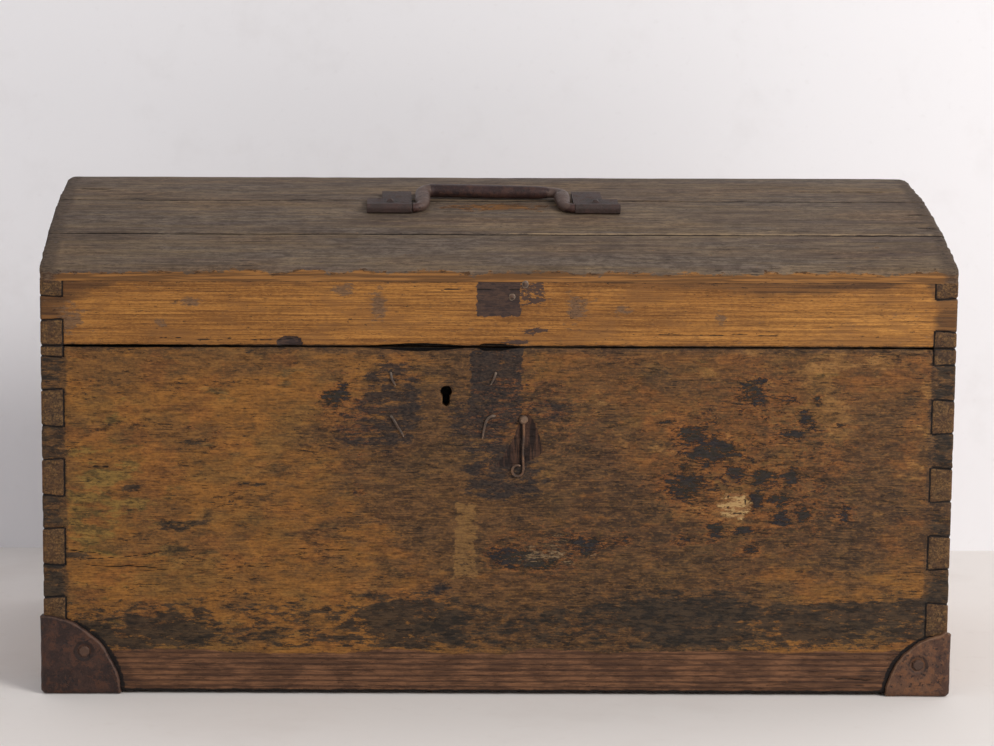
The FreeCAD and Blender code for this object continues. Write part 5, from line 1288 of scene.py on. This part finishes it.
path = bailPath()
run = runAlong(path)
keys, roughKeys = np.array(bail["sizes"]), np.array(bail["rough"])
run = run * keys[-1, 0] / run[-1]
askew = np.array([0.0, -math.sin(bail["lie"]), math.cos(bail["lie"])])
wide, thick = [np.interp(run, keys[:, 0], keys[:, column]) for column in (1, 2)]
grid = bar(path, askew, wide, thick, bail["sides"], bail["square"])[0]
rough = np.interp(run, roughKeys[:, 0], roughKeys[:, 1])
rough = np.concatenate([[0.0], rough, [0.0]])[:, None]
centres = np.concatenate([path[:1], path, path[-1:]])[:, None, :]
lumps = cloud(grid[..., 0] / 6.0, grid[..., 1] / 5.0 + grid[..., 2] / 5.0, 81, 2)
dent = 1.0 + bail["dents"] * rough * lumps - 0.03 * rough
grid = centres + (grid - centres) * dent[..., None]
piece = surface("handleBail", [(grid, {"arm": rough + 0 * grid[..., 0]})], sharp=50.0)
dress(piece, "handle", ["handle"], irons["handleIron"])

# The hook: a wire bent into an eye round its nail, a wavering shank, and a curl
hook = {"x": 22.5, "y": -209.425, "z": 246.5, "eye": 2.9, "length": 45.0, "curl": 4.8, "wire": 1.05,
        "eyeTurn": (-35.0, 258.0), "curlTurn": (0.0, -300.0), "steps": 26, "tip": (0.97, 0.92, 0.85, 0.75, 0.6)}
hookX, hookZ, steps = hook["x"], hook["z"], hook["steps"]
turn = np.radians(np.linspace(*hook["eyeTurn"], steps))
eye = np.stack([hookX + hook["eye"] * np.cos(turn), hookZ + hook["eye"] * np.sin(turn)], 1)
drop = np.linspace(4.2, hook["length"] - 1.0, steps)
shank = np.stack([hookX + 0.35 * np.sin(drop / 6.0) * smoothRise(drop, 4, 12), hookZ - drop], 1)
turn = np.radians(np.linspace(*hook["curlTurn"], steps))
curl = np.stack([hookX - hook["curl"] + hook["curl"] * np.cos(turn),
                 hookZ - hook["length"] + hook["curl"] * np.sin(turn)], 1)
line = np.concatenate([eye, shank, curl])
path = np.stack([line[:, 0], np.full(len(line), hook["y"]), line[:, 1]], 1)
size = hook["wire"] * (1.0 + 0.10 * cloud(np.arange(len(line)) / 3.0, np.zeros(len(line)), 83))
size[-len(hook["tip"]):] *= hook["tip"]
piece = surface("hookWire", [bar(path, np.array([0.0, 1.0, 0.0]), size, size, 10, 2.6, 0.05, 84)])
dress(piece, "hook", ["hook"], irons["hookIron"])

# The lock's nails: headed inside, driven out through the board, their ends bent down over its face
lockNails = {
    "inside": -184.6, "shankEnd": -196.0, "lift": 0.75,
    "bent": (((-94.0, 288.0), (-93.4, 284.0), (-92.6, 281.0), (-89.6, 276.2)),
             ((-94.0, 250.0), (-90.8, 245.6), (-88.4, 241.0), (-84.6, 235.6), (-82.4, 231.2)),
             ((-2.0, 288.0), (-3.0, 284.8), (-4.6, 281.2), (-6.4, 277.2)),
             ((-2.0, 250.0), (-6.4, 249.4), (-9.8, 246.6), (-12.0, 239.0), (-13.4, 229.8))),
    # distance from the head, the last two from the tip, and half size there: head, shank, tip
    "along": (0.0, 1.2, 1.7, 2.2, 22.0, -3.0, 0.0), "sizes": (3.0, 3.4, 3.3, 1.3, 1.25, 0.95, 0.45),
}
bars = []
face = chest["frontY"] - lockNails["lift"]
for number, bent in enumerate(lockNails["bent"]):
    x, z = bent[0]
    points = [(x, y, z) for y in (lockNails["inside"], lockNails["shankEnd"], face + 1.2)]
    path = smoothPath(points + [(x, face, z) for x, z in bent[1:]], 0.8)
    path[0] = points[0]
    run = runAlong(path)
    places = np.array(lockNails["along"]) + [0, 0, 0, 0, 0, run[-1], run[-1]]
    size = np.interp(run, places, lockNails["sizes"])
    toTip = np.array(bent[-1]) - np.array(bent[0])
    side = np.array([toTip[1], 0.0, -toTip[0]]) / np.hypot(*toTip)
    bars.append(bar(path, side, size, size, 12, 2.8, 0.06, 86 + number))
dress(surface("lockNailsBent", bars), "chest", ["lock_nails"], irons["nailIron"])

# The hasp's two nails: shank, head and a beaten dome, turned about the nail's own line
haspNails = {
    "inset": 3.9, "lift": 0.15, "second": 0.9,
    "depths": (20.0, 18.0, 0.7, 0.6, 0.3, -0.3, -0.9, -1.25, -1.4),
    "sizes": (0.3, 1.3, 1.4, 2.6, 3.2, 3.3, 2.7, 1.6, 0.4),
}
low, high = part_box("old_hasp_nails")
inset, steps = haspNails["inset"], len(haspNails["depths"])
heads = ((high.x / mm - inset, high.z / mm - inset), (low.x / mm + inset, low.z / mm + inset))
bars = []
for number, (x, z) in enumerate(heads):
    size = np.array(haspNails["sizes"]) * (haspNails["second"] if number else 1.0)
    y = chest["frontY"] + haspNails["lift"] + np.array(haspNails["depths"])
    path = np.stack([np.full(steps, x), y, np.full(steps, z)], 1)
    bars.append(bar(path, np.array([1.0, 0.0, 0.0]), size, size * 0.94, 20, 2.3, 0.16, 88 + number))
dress(surface("haspNailHeads", bars), "lid", ["old_hasp_nails"], irons["nailIron"])

# The corner plates: three quarter-round leaves beaten round a corner, thin worn rims, dished round their nails
plates = {
    "thick": 3.0, "round": 5.0, "outX": 403.0, "nailIn": 16.0,
    # piece, node, side in x, side in y, radius, seed, iron
    "rows": (("cornerPlateFrontLeft", "corner_plate_front_left", -1, -1, 71.5, 91, "plateIron"),
             ("cornerPlateFrontRight", "corner_plate_front_right", 1, -1, 57.5, 94, "plateIronRusty"),
             ("cornerPlateBackLeft", "corner_plate_back_left", -1, 1, 65.0, 97, "plateIron"),
             ("cornerPlateBackRight", "corner_plate_back_right", 1, 1, 65.0, 99, "plateIron")),
    "spiked": "cornerPlateFrontRight", "spike": (0.10, 0.995, 0.05, 0.035),  # x, z, width and height of its spike
    # relief in mm: height, place and width of the line inside the rim; depth and width of the thin rim; dents;
    # depth, flat part and reach of the dish round a nail; height, place and width of the dish's own rim
    "line": (0.28, 2.0, 1.2), "thinRim": (1.1, 1.2), "dents": 0.5, "dish": (0.7, 5.0, 9.0),
    # rimMark: place and width of a painted highlight along the thin rim
    "dishRim": (0.3, 9.0, 1.2), "sunk": 0.15, "limits": (-1.3, 0.9), "rimMark": (1.2, 1.3), "ringMark": (7.8, 1.8),
}


def cornerPlate(name, side, end, radius, seed):
    # inward distances from the corner: Q = t * outline; q = Q held at least the rounding inside every face
    # the outer skin is q + (rounding + relief) * (Q - q) / |Q - q|, the inner one a plate's thickness less
    held, thick = plates["round"], plates["thick"]
    turn = np.radians(spread(0.0, 90.0, 2.6, ((0.0, 9.0, 0.9), (81.0, 90.0, 0.9))))
    cosine, sine, none = np.cos(turn), np.sin(turn), 0 * turn
    leaves = [np.stack(part, 1) for part in ((cosine, none, sine), (none, sine, cosine), (sine, cosine, none))]
    outline = np.concatenate([leaf[:-1] for leaf in leaves] + [leaves[0][:1]])
    ragged = 1.0 + (1.2 * cloud(outline[:, 0] * 9 + outline[:, 1] * 5, outline[:, 2] * 9, seed, 4) - 0.5) / radius
    if name == plates["spiked"]:
        spikeX, spikeZ, width, height = plates["spike"]
        ragged = ragged + height * bell(np.hypot(outline[:, 0] - spikeX, outline[:, 2] - spikeZ), 0.0, width)
    t = np.sqrt(np.linspace(0.0, 1.0, int(radius / 1.5))) ** 1.4
    t[-1] = 1.0
    reach = (t[:, None] * ragged[None, :] * radius)[..., None] * outline[None, :, :]
    inset = np.maximum(reach, held)
    away = reach - inset
    away = away / np.linalg.norm(away, axis=2, keepdims=True)
    fromEdge = radius * (1.0 - t)[:, None] + 0 * reach[..., 0]
    nailAt = (radius - plates["nailIn"]) / math.sqrt(2)
    onFace = np.hypot(np.hypot(reach[..., 0] - nailAt, reach[..., 2] - nailAt), reach[..., 1])
    onEnd = np.hypot(np.hypot(reach[..., 1] - nailAt, reach[..., 2] - nailAt), reach[..., 0])
    nail = np.minimum(onFace, onEnd)
    line, thinRim, dish, dishRim = [plates[key] for key in ("line", "thinRim", "dish", "dishRim")]
    relief = line[0] * bell(fromEdge, *line[1:]) - thinRim[0] * fall(fromEdge, thinRim[1]) ** 2
    slow = cloud(reach[..., 0] / 13 + reach[..., 1] / 8, reach[..., 2] / 13, seed + 1, 4)
    relief = relief + plates["dents"] * slow - dish[0] * (1 - smoothRise(nail, *dish[1:]))
    relief = np.clip(relief + dishRim[0] * bell(nail, *dishRim[1:]) - plates["sunk"], *plates["limits"])
    outer = inset + away * (held + relief)[..., None]
    inner = inset + away * (held - thick)
    layers = np.concatenate([outer, inner[::-1]])
    endY = chest["frontY"] - thick if end < 0 else chest["backY"] + thick
    grid = np.stack([side * (plates["outX"] - layers[..., 0]), endY - end * layers[..., 1],
                     np.maximum(layers[..., 2], 0.0)], -1)
    # a painted highlight along the thin rim, and a darker ring round each nail
    rim = np.concatenate([bell(fromEdge, *plates["rimMark"]), 0 * fromEdge])
    ring = np.concatenate([bell(nail, *plates["ringMark"]), 0 * fromEdge])
    return surface(name, [(grid, {"rim": rim, "ring": ring})], sharp=55.0)


for name, node, side, end, radius, seed, iron in plates["rows"]:
    dress(cornerPlate(name, side, end, radius, seed), "chest", [node], irons[iron])
print("chest: iron pieces")

# Iron and inner pieces that keep their own shape, by how their names begin; the first that fits is used
carried = (
    ("corner_plate_nails", irons["headIron"]), ("handle_bracket", irons["bracketIron"]),
    ("hook_nail", irons["hookIron"]), ("bottom_nails", irons["nailIron"]), ("lid_staple_nails", irons["nailIron"]),
    ("hinge_lower_nails", irons["nailIron"]), ("hinge_upper_nails", irons["nailIron"]),
    ("lid_board_brads", irons["bradIron"]), ("lock", irons["lockIron"]), ("lid_staple", irons["lockIron"]),
    ("hinge", irons["lockIron"]), ("bottom_board", rawFinish("bottomWood", "Y")),
    ("bottom_cleat", rawFinish("cleatWood", "X")),
)
for nodeName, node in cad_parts.items():
    finish = next((finish for start, finish in carried if nodeName.startswith(start)), None)
    if finish is not None:
        for held in node.material_slots:
            held.material = finish
print("chest: carried pieces")

# Floor and wall: colour, stain, size of the clouds in mm
stage = {
    "wallY": 490.0, "reach": 6000.0,
    "floor": ((242, 236, 231), (222, 212, 205), 160.0), "wall": ((246, 244, 246), (226, 222, 222), 90.0),
}


def stageFinish(name, colour, stain, size, oneSided=False):
    # a plain pale surface with faint clouds of a darker tone
    f = Finish(name, "X", {"cloudy": (size, size, 4, 0.6, 3.0), "fine": (size / 9, size / 9, 4, 0.6, 7.0)})
    shade = f.over(colour, (("cloudy", 0.5, 0.75, 0.25, stain), ("fine", 0.6, 0.75, 0.15, stain)))
    return f.done(shade, 0.9, specular=0.1, oneSided=oneSided)


def flat(name, corners, finish):
    mesh = bpy.data.meshes.new(name)
    mesh.from_pydata([tuple(c * mm for c in corner) for corner in corners], [], [(0, 1, 2, 3)])
    made = bpy.data.objects.new(name, mesh)
    bpy.context.scene.collection.objects.link(made)
    mesh.materials.append(finish)


reach, wallY = stage["reach"], stage["wallY"]
flat("floor", ((-reach, -reach, 0), (reach, -reach, 0), (reach, wallY, 0), (-reach, wallY, 0)),
     stageFinish("paleFloor", *stage["floor"]))
flat("wall", ((-reach, wallY, 0), (reach, wallY, 0), (reach, wallY, reach), (-reach, wallY, reach)),
     stageFinish("paleWall", *stage["wall"], oneSided=True))

# Lamps: place and aim in m, size, power in W, colour
lamps = {
    "windowLamp": ((2.1, -2.3, 1.75), (0.0, 0.0, 0.2), (1.3, 1.2), 68.0, (1.0, 0.985, 0.96)),
    "fillLamp": ((-2.4, -2.2, 1.3), (0.0, 0.0, 0.2), (2.0, 1.6), 5.0, (0.96, 0.98, 1.0)),
}
for name, (place, aim, size, power, colour) in lamps.items():
    light = bpy.data.lights.new(name, "AREA")
    light.shape = "RECTANGLE"
    light.size, light.size_y = size
    light.energy = power
    light.color = colour
    made = bpy.data.objects.new(name, light)
    made.location = place
    made.rotation_euler = (Vector(aim) - Vector(place)).to_track_quat("-Z", "Y").to_euler()
    bpy.context.scene.collection.objects.link(made)

room = {"Color": (0.95, 0.96, 1.0, 1.0), "Strength": 0.5}
world = bpy.data.worlds.new("paleRoom")
bpy.context.scene.world = world
world.use_nodes = True
for key, value in room.items():
    world.node_tree.nodes["Background"].inputs[key].default_value = value

view = {"place": (-0.1164, -2.076, 0.4834), "down": math.radians(6.0), "roll": math.radians(0.2),
        "lens": 77.9, "film": 36.0, "shift": 0.1328}
camera = bpy.data.objects.new("camera", bpy.data.cameras.new("camera"))
camera.data.lens = view["lens"]
camera.data.sensor_width = view["film"]
camera.data.sensor_fit = "HORIZONTAL"
camera.data.shift_x = view["shift"]
camera.location = view["place"]
aimed = Matrix.Rotation(math.pi / 2 - view["down"], 3, "X") @ Matrix.Rotation(view["roll"], 3, "Z")
camera.rotation_euler = aimed.to_euler()
bpy.context.scene.collection.objects.link(camera)
bpy.context.scene.camera = camera
bpy.context.scene.view_settings.view_transform = "Standard"
print("chest: stage and camera")
